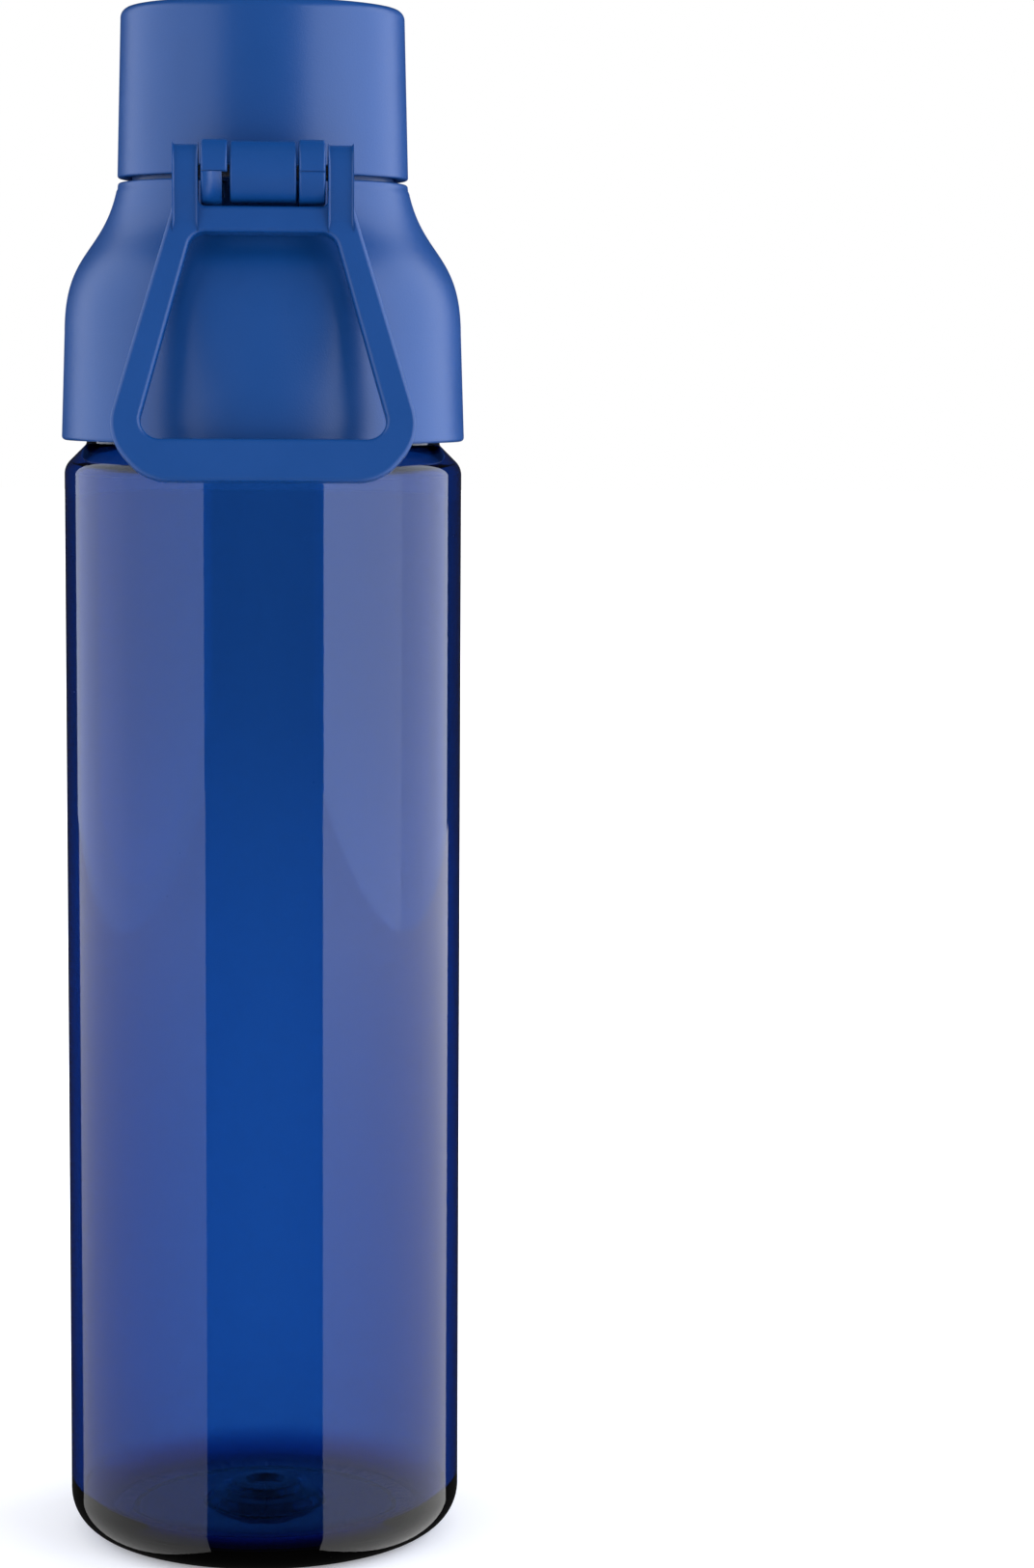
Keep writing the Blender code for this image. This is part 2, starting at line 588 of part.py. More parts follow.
def make_push_button():
    oval = stadium(BUTTON_CENTRE_Z, BUTTON_HALF_WIDTH, BUTTON_HALF_HEIGHT)
    button = prism("push_button", oval, "Y", -REACH, -22 * MM, "matte_blue")
    low, high = 230 * MM, 255 * MM
    rings = [(BUTTON_BACK_RADIUS, low), (BUTTON_RADIUS, low), (BUTTON_RADIUS, high), (BUTTON_BACK_RADIUS, high)]
    combine(button, lathe("button_curve", rings, segments=2 * ROUND), "INTERSECT")
    for side, low, high in both_sides(ARM_INNER_X, ARM_OUTER_X):
        combine(button, prism(f"button_hook_{side}", HOOK_LINE, "X", low, high), "UNION")
    y, z = FRONT_PIVOT.y, FRONT_PIVOT.z
    cheek = arc((y, z), CHEEK_RADIUS, -190, 0, 8) + [(y + CHEEK_RADIUS, CHEEK_TOP_Z), *CHEEK_ROOT]
    for side, low, high in both_sides(CHEEK_INNER_X, CHEEK_OUTER_X):
        combine(button, prism(f"button_cheek_{side}", cheek, "X", low, high), "UNION")
    hole = rod("button_pivot_hole", FRONT_PIVOT, PIVOT_HOLE_RADIUS, -20 * MM, 20 * MM, sides=14)
    return combine(button, hole, "DIFFERENCE")


def make_button_spring():
    """A small compression spring between the button's back and the collar."""
    steps = 12
    count = BUTTON_SPRING_TURNS * steps
    start, end = BUTTON_SPRING_Y
    points = []
    for i in range(count + 1):
        angle = 2 * math.pi * i / steps
        x = BUTTON_SPRING_RADIUS * math.cos(angle)
        z = BUTTON_SPRING_Z + BUTTON_SPRING_RADIUS * math.sin(angle)
        points.append((x, start + (end - start) * i / count, z))
    return wire("button_spring", points, BUTTON_SPRING_WIRE, "spring_steel", 1)


def make_wire_bail():
    """A wire loop in its own plane, x across and d away from the pivot, then leaned out over the flare."""
    flat = [(BAIL_TIP_X, 0), (BAIL_HALF_WIDTH - BAIL_BEND, 0)]
    flat += arc((BAIL_HALF_WIDTH - BAIL_BEND, BAIL_BEND), BAIL_BEND, -60, 0, 3)
    across = BAIL_HALF_WIDTH - BAIL_BAR_HALF
    down = BAIL_LENGTH - BAIL_STRAIGHT
    flat += [(BAIL_BAR_HALF + across * math.cos(a), BAIL_STRAIGHT + down * math.sin(a)) for a in quarter(8)]
    flat += [(-x, d) for x, d in reversed(flat)]
    out, fall = math.sin(BAIL_LEAN), math.cos(BAIL_LEAN)
    points = [(x, FRONT_PIVOT.y - d * out, FRONT_PIVOT.z - d * fall) for x, d in flat]
    return wire("wire_bail", points, BAIL_WIRE_RADIUS, "bright_wire", 3)


def make_hinge_pin():
    return rod("hinge_pin", REAR_PIVOT, PIN_RADIUS, -PIN_HALF_LENGTH, PIN_HALF_LENGTH, "spring_steel", 16)


def make_torsion_spring():
    """A coil round the pin inside the lid's knuckle, with one leg out to the collar's side."""
    steps = 14
    count = TORSION_SPRING_TURNS * steps
    start, end = TORSION_SPRING_X
    points = []
    for i in range(count + 1):
        angle = 2 * math.pi * i / steps + math.pi / 2
        y = REAR_PIVOT.y + TORSION_SPRING_RADIUS * math.cos(angle)
        z = REAR_PIVOT.z + TORSION_SPRING_RADIUS * math.sin(angle)
        points.append((start + (end - start) * i / count, y, z))
    return wire("torsion_spring", points, TORSION_SPRING_WIRE, "spring_steel", 1)


def handle_point(x, s, t):
    """A place on the handle from x across, s down its plane and t out of the plane."""
    out, fall = math.sin(HANDLE_LEAN), math.cos(HANDLE_LEAN)
    return Vector((x, REAR_PIVOT.y + s * out + t * fall, REAR_PIVOT.z - s * fall + t * out))


def handle_plate(name, outline, half, finish=None):
    """A flat plate in the handle's plane."""
    bm = bmesh.new()
    faces = [[bm.verts.new(handle_point(x, s, t)) for x, s in outline] for t in (-half, half)]
    bm.faces.new(faces[0])
    bm.faces.new(list(reversed(faces[1])))
    for i in range(len(outline)):
        j = (i + 1) % len(outline)
        bm.faces.new((faces[0][i], faces[0][j], faces[1][j], faces[1][i]))
    return add_object(name, bm, finish)


def mirrored(half_outline):
    return half_outline + [(-x, s) for x, s in reversed(half_outline)]


def make_carry_handle():
    flare = math.degrees(math.atan2(HANDLE_WIDE_HALF - HANDLE_TOP_HALF, HANDLE_WIDE_S - HANDLE_NOTCH_S))
    corner = (HANDLE_WIDE_HALF - HANDLE_CORNER, HANDLE_LENGTH - HANDLE_CORNER)
    outer = [(HANDLE_TOP_HALF, 0), (HANDLE_TOP_HALF, HANDLE_NOTCH_S)]
    outer += arc(corner, HANDLE_CORNER, -flare, 90, 7)
    handle = handle_plate("carry_handle", mirrored(outer), HANDLE_THICKNESS / 2, "matte_blue")
    top = (WINDOW_TOP_HALF - WINDOW_CORNER, WINDOW_TOP_S + WINDOW_CORNER)
    bottom = (WINDOW_WIDE_HALF - WINDOW_CORNER, WINDOW_BOTTOM_S - WINDOW_CORNER)
    window = arc(top, WINDOW_CORNER, -90, -15, 3) + arc(bottom, WINDOW_CORNER, -15, 90, 4)
    combine(handle, handle_plate("handle_window", mirrored(window), HANDLE_THICKNESS), "DIFFERENCE")
    for side, low, high in both_sides(HANDLE_EAR_INNER_X, HANDLE_TOP_HALF):
        ear = rod(f"handle_ear_{side}", REAR_PIVOT, HANDLE_EAR_RADIUS, low, high)
        combine(handle, ear, "UNION")
    notch = [(HANDLE_EAR_INNER_X, -9 * MM), (HANDLE_EAR_INNER_X, HANDLE_NOTCH_S)]
    combine(handle, handle_plate("handle_notch", mirrored(notch), 7 * MM), "DIFFERENCE")
    hole = rod("handle_pin_hole", REAR_PIVOT, PIN_HOLE_RADIUS, -20 * MM, 20 * MM, sides=16)
    return combine(handle, hole, "DIFFERENCE")


def main():
    clear_scene()
    make_bottle_body()
    collar_axis = pivot("collar_axis", Vector((0, 0, SKIRT_Z)))
    lid_axis = pivot("lid_axis", REAR_PIVOT)
    handle_axis = pivot("handle_axis", REAR_PIVOT)
    button_axis = pivot("button_axis", FRONT_PIVOT)
    bail_axis = pivot("bail_axis", FRONT_PIVOT)
    carry(collar_axis, make_collar_shell(), make_collar_gasket(), make_hinge_pin(), make_button_spring())
    carry(lid_axis, make_lid_shell(), make_lid_liner(), make_spout_seal(), make_torsion_spring())
    carry(handle_axis, make_carry_handle())
    carry(button_axis, make_push_button())
    carry(bail_axis, make_wire_bail())


main()
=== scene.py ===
"""Finishes a flip-lid drink bottle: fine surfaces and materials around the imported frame, in a studio.

Run as a script, it makes every piece at once. Each group of pieces also has an operator of its own in the
3D view's sidebar. Everything is in metres: +Z up, the push button at -Y, the hinge and carry loop at +Y.
"""

import json
import math

import bmesh
import bpy
import numpy as np
from mathutils import Matrix, Vector


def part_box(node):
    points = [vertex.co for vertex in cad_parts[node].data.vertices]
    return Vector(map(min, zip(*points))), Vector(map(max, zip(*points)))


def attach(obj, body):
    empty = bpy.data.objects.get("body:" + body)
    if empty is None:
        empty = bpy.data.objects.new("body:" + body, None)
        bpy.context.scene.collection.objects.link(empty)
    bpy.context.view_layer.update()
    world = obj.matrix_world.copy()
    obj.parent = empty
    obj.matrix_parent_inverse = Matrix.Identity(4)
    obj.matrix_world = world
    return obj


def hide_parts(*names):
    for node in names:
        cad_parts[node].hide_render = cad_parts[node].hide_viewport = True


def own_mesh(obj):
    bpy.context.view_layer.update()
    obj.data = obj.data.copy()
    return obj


bl_info = {
    "name": "Drink Bottle Finisher",
    "version": (1, 0, 0),
    "blender": (4, 5, 0),
    "location": "3D View > Sidebar > Bottle",
    "description": "Builds the fine surfaces and materials of a flip-lid drink bottle",
    "category": "Add Mesh",
}

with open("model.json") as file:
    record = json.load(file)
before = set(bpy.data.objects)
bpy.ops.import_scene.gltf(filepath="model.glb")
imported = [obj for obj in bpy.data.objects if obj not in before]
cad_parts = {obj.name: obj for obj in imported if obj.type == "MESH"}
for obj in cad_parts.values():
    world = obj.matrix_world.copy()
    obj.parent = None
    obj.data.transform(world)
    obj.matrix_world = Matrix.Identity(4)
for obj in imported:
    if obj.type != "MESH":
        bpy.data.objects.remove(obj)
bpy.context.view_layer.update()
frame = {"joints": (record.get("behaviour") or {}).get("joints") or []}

MM = 0.001
SOFTBOX_X = 0.8
# Softboxes as (name, side, middle along Y, width, share of the set radiance)
SOFTBOXES = (
    ("softbox_front_right", -1, 0.628, 1.116, 2.0),
    ("softbox_rear_right", -1, -0.34, 0.82, 1.6),
    ("softbox_front_left", 1, 0.628, 1.116, 1.1),
    ("softbox_rear_left", 1, -0.4, 0.943, 1.15),
)
SOFTBOX_HEIGHT = 1.0
SOFTBOX_COLOUR = (0.92, 1.0, 1.2)
# Strength of the surroundings to glossy and to diffuse rays; camera and transmission rays see 1
GLOSSY_WORLD = 0.02
DIFFUSE_WORLD = 0.75
# The floor's painted reflection: it glows in reflections where |x| + slope * y is above a limit, for both of
# these (slope, limit)
FLOOR_FRONT = (-0.674, -0.0124)
FLOOR_BEHIND = (0.933, 0.0448)
FLOOR_REACH = 6.0
CAMERA_PLACE = (0, 0.682, 0.21)
CAMERA_PITCH, CAMERA_YAW, CAMERA_ROLL = math.radians(-6.2), math.radians(3.82), math.radians(0.32)


def joint_place(name):
    """Where a joint's axis lies, as a numpy point."""
    return np.array(next(j for j in frame["joints"] if j["name"] == name)["pos_m"], float)


# Places that every piece is worked out from
REAR_PIN = joint_place("lid_hinge")
FRONT_PIN = joint_place("bail_hinge")
BODY_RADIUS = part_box("bottle_body")[1].x
NECK_RIM_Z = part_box("bottle_body")[1].z
SKIRT_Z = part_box("collar_shell")[0].z
SPOUT_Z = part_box("collar_shell")[1].z
LID_TOP_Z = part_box("lid_shell")[1].z
COLLAR_TOP_Z = REAR_PIN[2] - 0.5 * MM
LID_BOTTOM_Z = REAR_PIN[2] + 0.3 * MM

# The button housing and its oval recess, as (half width, half height, middle z)
HOUSING_FRONT = 30.6 * MM
HOUSING_FOOT_Z = 223.4 * MM
BOSS_HALF = 14.1 * MM
RECESS = (12.3 * MM, 6.25 * MM, FRONT_PIN[2] + 4.85 * MM)
POCKET_RADIUS = 24.45 * MM
# The collar's rim and the start of its thread
COLLAR_BORE = 32.95 * MM
RIM_RADIUS = 25.6 * MM
LIP_RADIUS = 23.7 * MM
SHOULDER_Z = 220.9 * MM
# One thread is cut twice: the ridge on the neck and the one in the collar
THREAD_PITCH = 5 * MM
THREAD_TURNS = 1.25
LOOP_LEAN = math.radians(8.2)
WIRE_LEAN = math.radians(35.2)


# ---------------------------------------------------------------- settings


class BottleSizes(bpy.types.PropertyGroup):
    """Sizes that a user may change, all inside the frame's own box."""

    wall: bpy.props.FloatProperty(
        name="Body wall", description="Thickness of the clear wall",
        default=2.0 * MM, unit="LENGTH", precision=4,
    )
    base_corner: bpy.props.FloatProperty(
        name="Base corner", description="Radius between side and foot",
        default=7.4 * MM, unit="LENGTH", precision=4,
    )
    edge: bpy.props.FloatProperty(
        name="Moulded edge", description="Radius of the collar's inner edges",
        default=0.5 * MM, unit="LENGTH", precision=5,
    )
    wire: bpy.props.FloatProperty(
        name="Lock wire", description="Radius of the lock's wire",
        default=0.65 * MM, unit="LENGTH", precision=5,
    )
    loop_thickness: bpy.props.FloatProperty(
        name="Loop thickness", description="Thickness of the carry loop",
        default=4.6 * MM, unit="LENGTH", precision=4,
    )
    columns: bpy.props.IntProperty(
        name="Columns", description="Steps round the turned pieces", default=256, min=48, max=512
    )


class BottleFinish(bpy.types.PropertyGroup):
    """Colours and finishes that a user may change."""

    skin: bpy.props.FloatVectorProperty(
        name="Matte blue", description="Colour of collar, lid, button and loop", subtype="COLOR",
        default=(0.003, 0.054, 0.215),
    )
    skin_roughness: bpy.props.FloatProperty(
        name="Matte roughness", description="Roughness of the matte plastic", subtype="FACTOR", default=0.3
    )
    tint: bpy.props.FloatVectorProperty(
        name="Tint", description="What the clear plastic lets through", subtype="COLOR",
        default=(0.147, 0.507, 0.762),
    )
    tint_density: bpy.props.FloatProperty(
        name="Tint density", description="Absorption of the clear plastic per metre", default=1500.0
    )
    softbox: bpy.props.FloatProperty(
        name="Softboxes", description="Radiance of the side lights", default=1.25
    )


def sizes():
    return bpy.context.scene.bottle_sizes


def finish_settings():
    return bpy.context.scene.bottle_finish


# ---------------------------------------------------------------- lines


def rounded(corners, closed=False, turn=math.radians(9)):
    """A line through corners, each (a, b) or (a, b, radius): straight runs with a tangent arc at each radius.

    An arc blends its first and last spoke, (sin((1-t)w) p + sin(t w) q) / sin w, for the sweep w.
    """
    places = np.array([c[:2] for c in corners], float)
    runs = []
    for i, corner in enumerate(corners):
        here = places[i]
        radius = corner[2] if len(corner) > 2 else 0.0
        if radius <= 0 or (not closed and i in (0, len(corners) - 1)):
            runs.append(here[None])
            continue
        back = places[i - 1] - here
        on = places[(i + 1) % len(places)] - here
        back = back / np.linalg.norm(back)
        on = on / np.linalg.norm(on)
        between = math.acos(np.clip(back @ on, -1, 1))
        middle = (back + on) / np.linalg.norm(back + on)
        centre = here + middle * radius / math.sin(between / 2)
        reach = radius / math.tan(between / 2)
        sweep = math.pi - between
        t = np.linspace(0, 1, max(2, math.ceil(sweep / turn)) + 1)[:, None]
        first = here + back * reach - centre
        last = here + on * reach - centre
        runs.append(centre + (np.sin((1 - t) * sweep) * first + np.sin(t * sweep) * last) / math.sin(sweep))
    return np.vstack(runs)


def corners_mm(corners, base=0.0):
    """Corners from millimetres, each (across, up) or (across, up, radius), with up from a base in metres."""
    return [(c[0] * MM, base + c[1] * MM, *(radius * MM for radius in c[2:])) for c in corners]


def bezier(points, steps):
    """A cubic curve: the four points weighted by (1-t)^3, 3t(1-t)^2, 3t^2(1-t) and t^3."""
    t = np.linspace(0, 1, steps + 1)[:, None]
    a, b, c, d = (np.array(p, float) for p in points)
    return (1 - t) ** 3 * a + 3 * t * (1 - t) ** 2 * b + 3 * t * t * (1 - t) * c + t**3 * d


def filled(line, step):
    """The same line with its long straight runs cut into steps no longer than the one given."""
    gaps = np.linalg.norm(np.diff(line, axis=0), axis=1)
    counts = np.maximum(1, np.ceil(gaps / step).astype(int))
    starts = np.repeat(np.arange(len(gaps)), counts)
    share = np.concatenate([np.arange(n) / n for n in counts])[:, None]
    return np.vstack([line[starts] * (1 - share) + line[starts + 1] * share, line[-1:]])


def stadium(half_width, half_height, centre_z, steps=24):
    """Two half circles joined by straight runs, as (x, z) points anticlockwise from the lowest right."""
    reach = half_width - half_height
    a = np.linspace(-math.pi / 2, math.pi / 2, steps + 1)
    right = np.column_stack([reach + half_height * np.cos(a), centre_z + half_height * np.sin(a)])
    left = np.column_stack([-reach - half_height * np.cos(a), centre_z - half_height * np.sin(a)])
    straight = np.linspace(0, 1, steps // 2 + 1)[1:-1, None]
    top = right[-1] * (1 - straight) + left[0] * straight
    bottom = left[-1] * (1 - straight) + right[0] * straight
    return np.vstack([right, top, left, bottom])


def blend_low(a, b, width):
    """The lower of two heights, rounded over a width w: min(a, b) - h^2 w / 4, for h = 1 - |a - b| / w."""
    h = np.clip(1 - np.abs(a - b) / width, 0, None)
    return np.minimum(a, b) - h * h * width / 4


def blend_high(a, b, width):
    """The higher of two heights, rounded over a width."""
    return -blend_low(-a, -b, width)


def ease(low, high, value):
    """0 below low, 1 above high, and 3t^2 - 2t^3 between them."""
    t = np.clip((value - low) / (high - low), 0, 1)
    return t * t * (3 - 2 * t)


# ---------------------------------------------------------------- surfaces


def skin(name, rows, material, body, ring=False, sharp=40.0):
    """A closed surface over a grid: each row of points runs round the piece, and rows run along it.

    Ring rows join last to first. Other rows are closed at each end by a fan to the end row's middle. Faces
    point outwards by the sign of the enclosed volume, the sum of a . (b x c) / 6 over its triangles.
    """
    count, around = rows.shape[:2]
    points = rows.reshape(-1, 3)
    here = np.arange(around)
    after = (here + 1) % around
    low = np.arange(count if ring else count - 1)
    high = (low + 1) % count
    a = low[:, None] * around
    b = high[:, None] * around
    quads = np.stack([a + here, a + after, b + after, b + here], axis=-1).reshape(-1, 4)
    fans = np.zeros((0, 3), int)
    if not ring:
        points = np.vstack([points, rows[0].mean(0), rows[-1].mean(0)])
        first = count * around
        last = (count - 1) * around
        fans = np.vstack(
            [
                np.column_stack([after, here, np.full(around, first)]),
                np.column_stack([last + here, last + after, np.full(around, first + 1)]),
            ]
        )
    corners = points[quads]
    halves = np.concatenate([corners[:, [0, 1, 2]], corners[:, [0, 2, 3]], points[fans]])
    volume = np.einsum("ij,ij->i", halves[:, 0], np.cross(halves[:, 1], halves[:, 2])).sum() / 6
    faces = quads.tolist() + fans.tolist()
    if volume < 0:
        faces = [face[::-1] for face in faces]
    mesh = bpy.data.meshes.new(name)
    mesh.from_pydata(points.tolist(), [], faces)
    mesh.validate()
    mesh.shade_smooth()
    mesh.set_sharp_from_angle(angle=math.radians(sharp))
    mesh.materials.append(material)
    piece = bpy.data.objects.new(name, mesh)
    bpy.context.scene.collection.objects.link(piece)
    if body:
        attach(piece, body)
    return piece


def angles(count):
    """Even steps round a circle, from -Y anticlockwise."""
    return np.linspace(0, 2 * math.pi, count, endpoint=False)


def turned(line, around=None):
    """Carries a line of (radius, z) round the Z axis: x = r sin a, y = -r cos a."""
    a = angles(sizes().columns) if around is None else around
    return carried(line[:, :1], line[:, 1:], a)


def carried(radius, z, a):
    """The same, for a radius that may change with the angle."""
    x = radius * np.sin(a)
    return np.stack([x, -radius * np.cos(a), np.broadcast_to(z, x.shape)], -1)


def tube(path, normals, radius, sides=24):
    """A round wire: path + r (cos a n + sin a s), for a unit normal n of the path and s = tangent x n."""
    tangent = np.gradient(path, axis=0)
    tangent /= np.linalg.norm(tangent, axis=1, keepdims=True)
    side = np.cross(tangent, normals)
    a = angles(sides)[:, None]
    radius = np.broadcast_to(radius, len(path))[:, None, None]
    spokes = np.cos(a) * normals[:, None] + np.sin(a) * side[:, None]
    return path[:, None] + radius * spokes


def inset(outline, distance):
    """Moves a closed anticlockwise outline inwards along its own normals, (-dy, dx) of the averaged edge."""
    along = np.roll(outline, -1, axis=0) - np.roll(outline, 1, axis=0)
    along /= np.linalg.norm(along, axis=1, keepdims=True) + 1e-12
    return outline + distance * np.column_stack([-along[:, 1], along[:, 0]])


def slab(outline, low, high, edge, place):
    """A plate with rounded rims: the outline is inset by e (1 - sin t) at depth e (1 - cos t) on both faces.

    place turns arrays of (first, second, depth) into points.
    """
    t = np.linspace(0, math.pi / 2, 6)
    drop = edge * (1 - np.sin(t))
    rise = edge * (1 - np.cos(t))
    insets = np.concatenate([[3 * edge], drop, drop[::-1], [3 * edge]])
    depths = np.concatenate([[low], low + rise[:1], low + rise[1:], high - rise[::-1], [high]])
    rows = [place(*inset(outline, i).T, d) for i, d in zip(insets, depths, strict=False)]
    return np.stack(rows)


def along_x(first, second, depth):
    """(y, z) outlines carried along X."""
    return np.column_stack([np.full_like(first, depth), first, second])


def cut(target, *cutters):
    """Cuts closed shapes out of a piece for good, and removes them."""
    for cutter in cutters:
        step = target.modifiers.new(cutter.name, "BOOLEAN")
        step.operation = "DIFFERENCE"
        step.solver = "MANIFOLD"
        step.object = cutter
    settle(target)
    for cutter in cutters:
        bpy.data.objects.remove(cutter)
    return target


def settle(target):
    """Turns a piece's modifiers into its mesh."""
    graph = bpy.context.evaluated_depsgraph_get()
    graph.update()
    made = bpy.data.meshes.new_from_object(target.evaluated_get(graph), depsgraph=graph)
    target.modifiers.clear()
    target.data = made
    return target


def even(piece):
    """Lets large faces lead the shading, so that flats beside small rounded edges stay flat."""
    step = piece.modifiers.new("even shading", "WEIGHTED_NORMAL")
    step.keep_sharp = True
    step.weight = 60
    return piece


def cutter(name, rows):
    """A closed shape to cut with, which rides on nothing because it is removed again."""
    return skin(name, rows, None, None)


def box_rows(low, high):
    """A box between two corners, as two rows of four points."""
    (x0, y0, z0), (x1, y1, z1) = low, high
    corners = [(x0, y0), (x1, y0), (x1, y1), (x0, y1)]
    return np.array([[(x, y, z) for x, y in corners] for z in (z0, z1)], float)


def thread_height(angle, z, start, rise):
    """How far a thread stands out: its ridge's z is start + pitch x turn, and its flanks and ends ease."""
    turn = (angle % (2 * math.pi)) / (2 * math.pi)
    height = np.zeros(np.broadcast(angle, z).shape)
    for lap in range(math.ceil(THREAD_TURNS)):
        total = turn + lap
        flank = 1 - ease(0.6 * MM, 1.05 * MM, np.abs(z - start - THREAD_PITCH * total))
        ends = ease(0, 0.06, total) * ease(0, 0.06, THREAD_TURNS - total)
        height = np.maximum(height, rise * flank * ends)
    return height


# ---------------------------------------------------------------- materials


def node(tree, kind, **inputs):
    """Adds a shader node. An input is its name with _ for a space, or i and its number; sockets are linked."""
    made = tree.nodes.new(kind)
    for name, value in inputs.items():
        numbered = name[0] == "i" and name[1:].isdigit()
        socket = made.inputs[int(name[1:]) if numbered else name.replace("_", " ")]
        if isinstance(value, bpy.types.NodeSocket):
            tree.links.new(value, socket)
        else:
            socket.default_value = value
    return made


def group_tree(name, inputs, outputs):
    """An empty shader node group with float inputs (name, default) and outputs (name, socket type)."""
    tree = bpy.data.node_groups.new(name, "ShaderNodeTree")
    for label, default in inputs:
        socket = tree.interface.new_socket(name=label, in_out="INPUT", socket_type="NodeSocketFloat")
        socket.default_value = default
    for label, kind in outputs:
        tree.interface.new_socket(name=label, in_out="OUTPUT", socket_type=kind)
    return tree, tree.nodes.new("NodeGroupInput"), tree.nodes.new("NodeGroupOutput")


def math_node(tree, operation, a, b=0.0, c=0.0):
    made = node(tree, "ShaderNodeMath", i0=a, i1=b, i2=c)
    made.operation = operation
    return made.outputs[0]


def mixed_colour(tree, factor, low, high):
    """Mixes two colours by a factor; each is a socket or a plain (r, g, b)."""
    made = node(tree, "ShaderNodeMix", Factor=factor)
    made.data_type = "RGBA"
    for name, value in (("A", low), ("B", high)):
        if isinstance(value, bpy.types.NodeSocket):
            tree.links.new(value, made.inputs[name])
        else:
            made.inputs[name].default_value = (*value, 1)
    return made.outputs["Result"]


def scaled_colour(colour, share):
    return [share * c for c in colour]


def once(store, name):
    """Makes a material or node group the first time its function is called, and finds it again after that."""

    def wrap(make):
        return lambda: getattr(bpy.data, store).get(name) or make(name)

    return wrap


@once("node_groups", "Moulded grain")
def moulded_grain(name):
    """Fine spark-erosion grain, slow cloudy variation and rare tiny specks, from Object coordinates."""
    tree, given, out = group_tree(
        name,
        [("Grain size", 0.25 * MM), ("Cloud size", 14 * MM), ("Speck share", 0.04)],
        [("Grain", "NodeSocketFloat"), ("Cloud", "NodeSocketFloat"), ("Speck", "NodeSocketFloat")],
    )
    place = tree.nodes.new("ShaderNodeTexCoord").outputs["Object"]
    fine = node(tree, "ShaderNodeTexNoise", Vector=place, Detail=3.0, Roughness=0.6,
                Scale=math_node(tree, "DIVIDE", 1.0, given.outputs["Grain size"]))
    slow = node(tree, "ShaderNodeTexNoise", Vector=place, Detail=2.0, Roughness=0.5,
                Scale=math_node(tree, "DIVIDE", 1.0, given.outputs["Cloud size"]))
    dots = node(tree, "ShaderNodeTexVoronoi", Vector=place, Scale=420.0)
    near = math_node(tree, "LESS_THAN", dots.outputs["Distance"], 0.05)
    split = node(tree, "ShaderNodeSeparateColor", Color=dots.outputs["Color"])
    chance = math_node(tree, "LESS_THAN", split.outputs[0], given.outputs["Speck share"])
    tree.links.new(fine.outputs[0], out.inputs["Grain"])
    tree.links.new(slow.outputs[0], out.inputs["Cloud"])
    tree.links.new(math_node(tree, "MULTIPLY", near, chance), out.inputs["Speck"])
    return tree


@once("node_groups", "Mould line")
def mould_line(name):
    """A thin witness line where two halves of a mould met, along the plane X = 0 on the button's side."""
    tree, given, out = group_tree(name, [("Width", 0.12 * MM)], [("Line", "NodeSocketFloat")])
    place = node(tree, "ShaderNodeSeparateXYZ", Vector=tree.nodes.new("ShaderNodeTexCoord").outputs["Object"])
    away = math_node(tree, "ABSOLUTE", place.outputs["X"])
    share = math_node(tree, "DIVIDE", away, given.outputs["Width"])
    line = math_node(tree, "SUBTRACT", 1.0, math_node(tree, "MINIMUM", share, 1.0))
    button_side = math_node(tree, "LESS_THAN", place.outputs["Y"], 0.0)
    tree.links.new(math_node(tree, "MULTIPLY", line, button_side), out.inputs["Line"])
    return tree


def use_group(tree, group, **values):
    made = tree.nodes.new("ShaderNodeGroup")
    made.node_tree = group
    for name, value in values.items():
        made.inputs[name.replace("_", " ")].default_value = value
    return made


def new_material(name):
    """A material with only a Principled shader and its output."""
    made = bpy.data.materials.new(name)
    made.use_nodes = True
    return made, made.node_tree, made.node_tree.nodes["Principled BSDF"]


@once("materials", "matte_blue_plastic")
def matte_blue(name):
    """Deep blue plastic with a fine moulded grain, a soft sheen and slightly cloudy gloss."""
    made, tree, shader = new_material(name)
    skin_colour = finish_settings().skin
    rough = finish_settings().skin_roughness
    grain = use_group(tree, moulded_grain(), Grain_size=0.3 * MM, Cloud_size=11 * MM, Speck_share=0.02)
    line = use_group(tree, mould_line(), Width=0.13 * MM)
    tone = mixed_colour(tree, grain.outputs["Cloud"], scaled_colour(skin_colour, 0.93),
                        scaled_colour(skin_colour, 1.07))
    pale = mixed_colour(tree, math_node(tree, "MULTIPLY", line.outputs["Line"], 0.25), tone,
                        [min(1.0, 1.6 * c + 0.02) for c in skin_colour])
    tree.links.new(pale, shader.inputs["Base Color"])
    fine = math_node(tree, "MULTIPLY_ADD", grain.outputs["Grain"], 0.1, rough - 0.05)
    spread = math_node(tree, "MULTIPLY_ADD", grain.outputs["Cloud"], 0.06, fine)
    tree.links.new(spread, shader.inputs["Roughness"])
    height = math_node(tree, "MULTIPLY", line.outputs["Line"], 1.5)
    height = math_node(tree, "ADD", grain.outputs["Grain"], height)
    bump = node(tree, "ShaderNodeBump", Height=height, Strength=0.8, Distance=0.03 * MM)
    tree.links.new(bump.outputs["Normal"], shader.inputs["Normal"])
    shader.inputs["Specular IOR Level"].default_value = 0.45
    return made


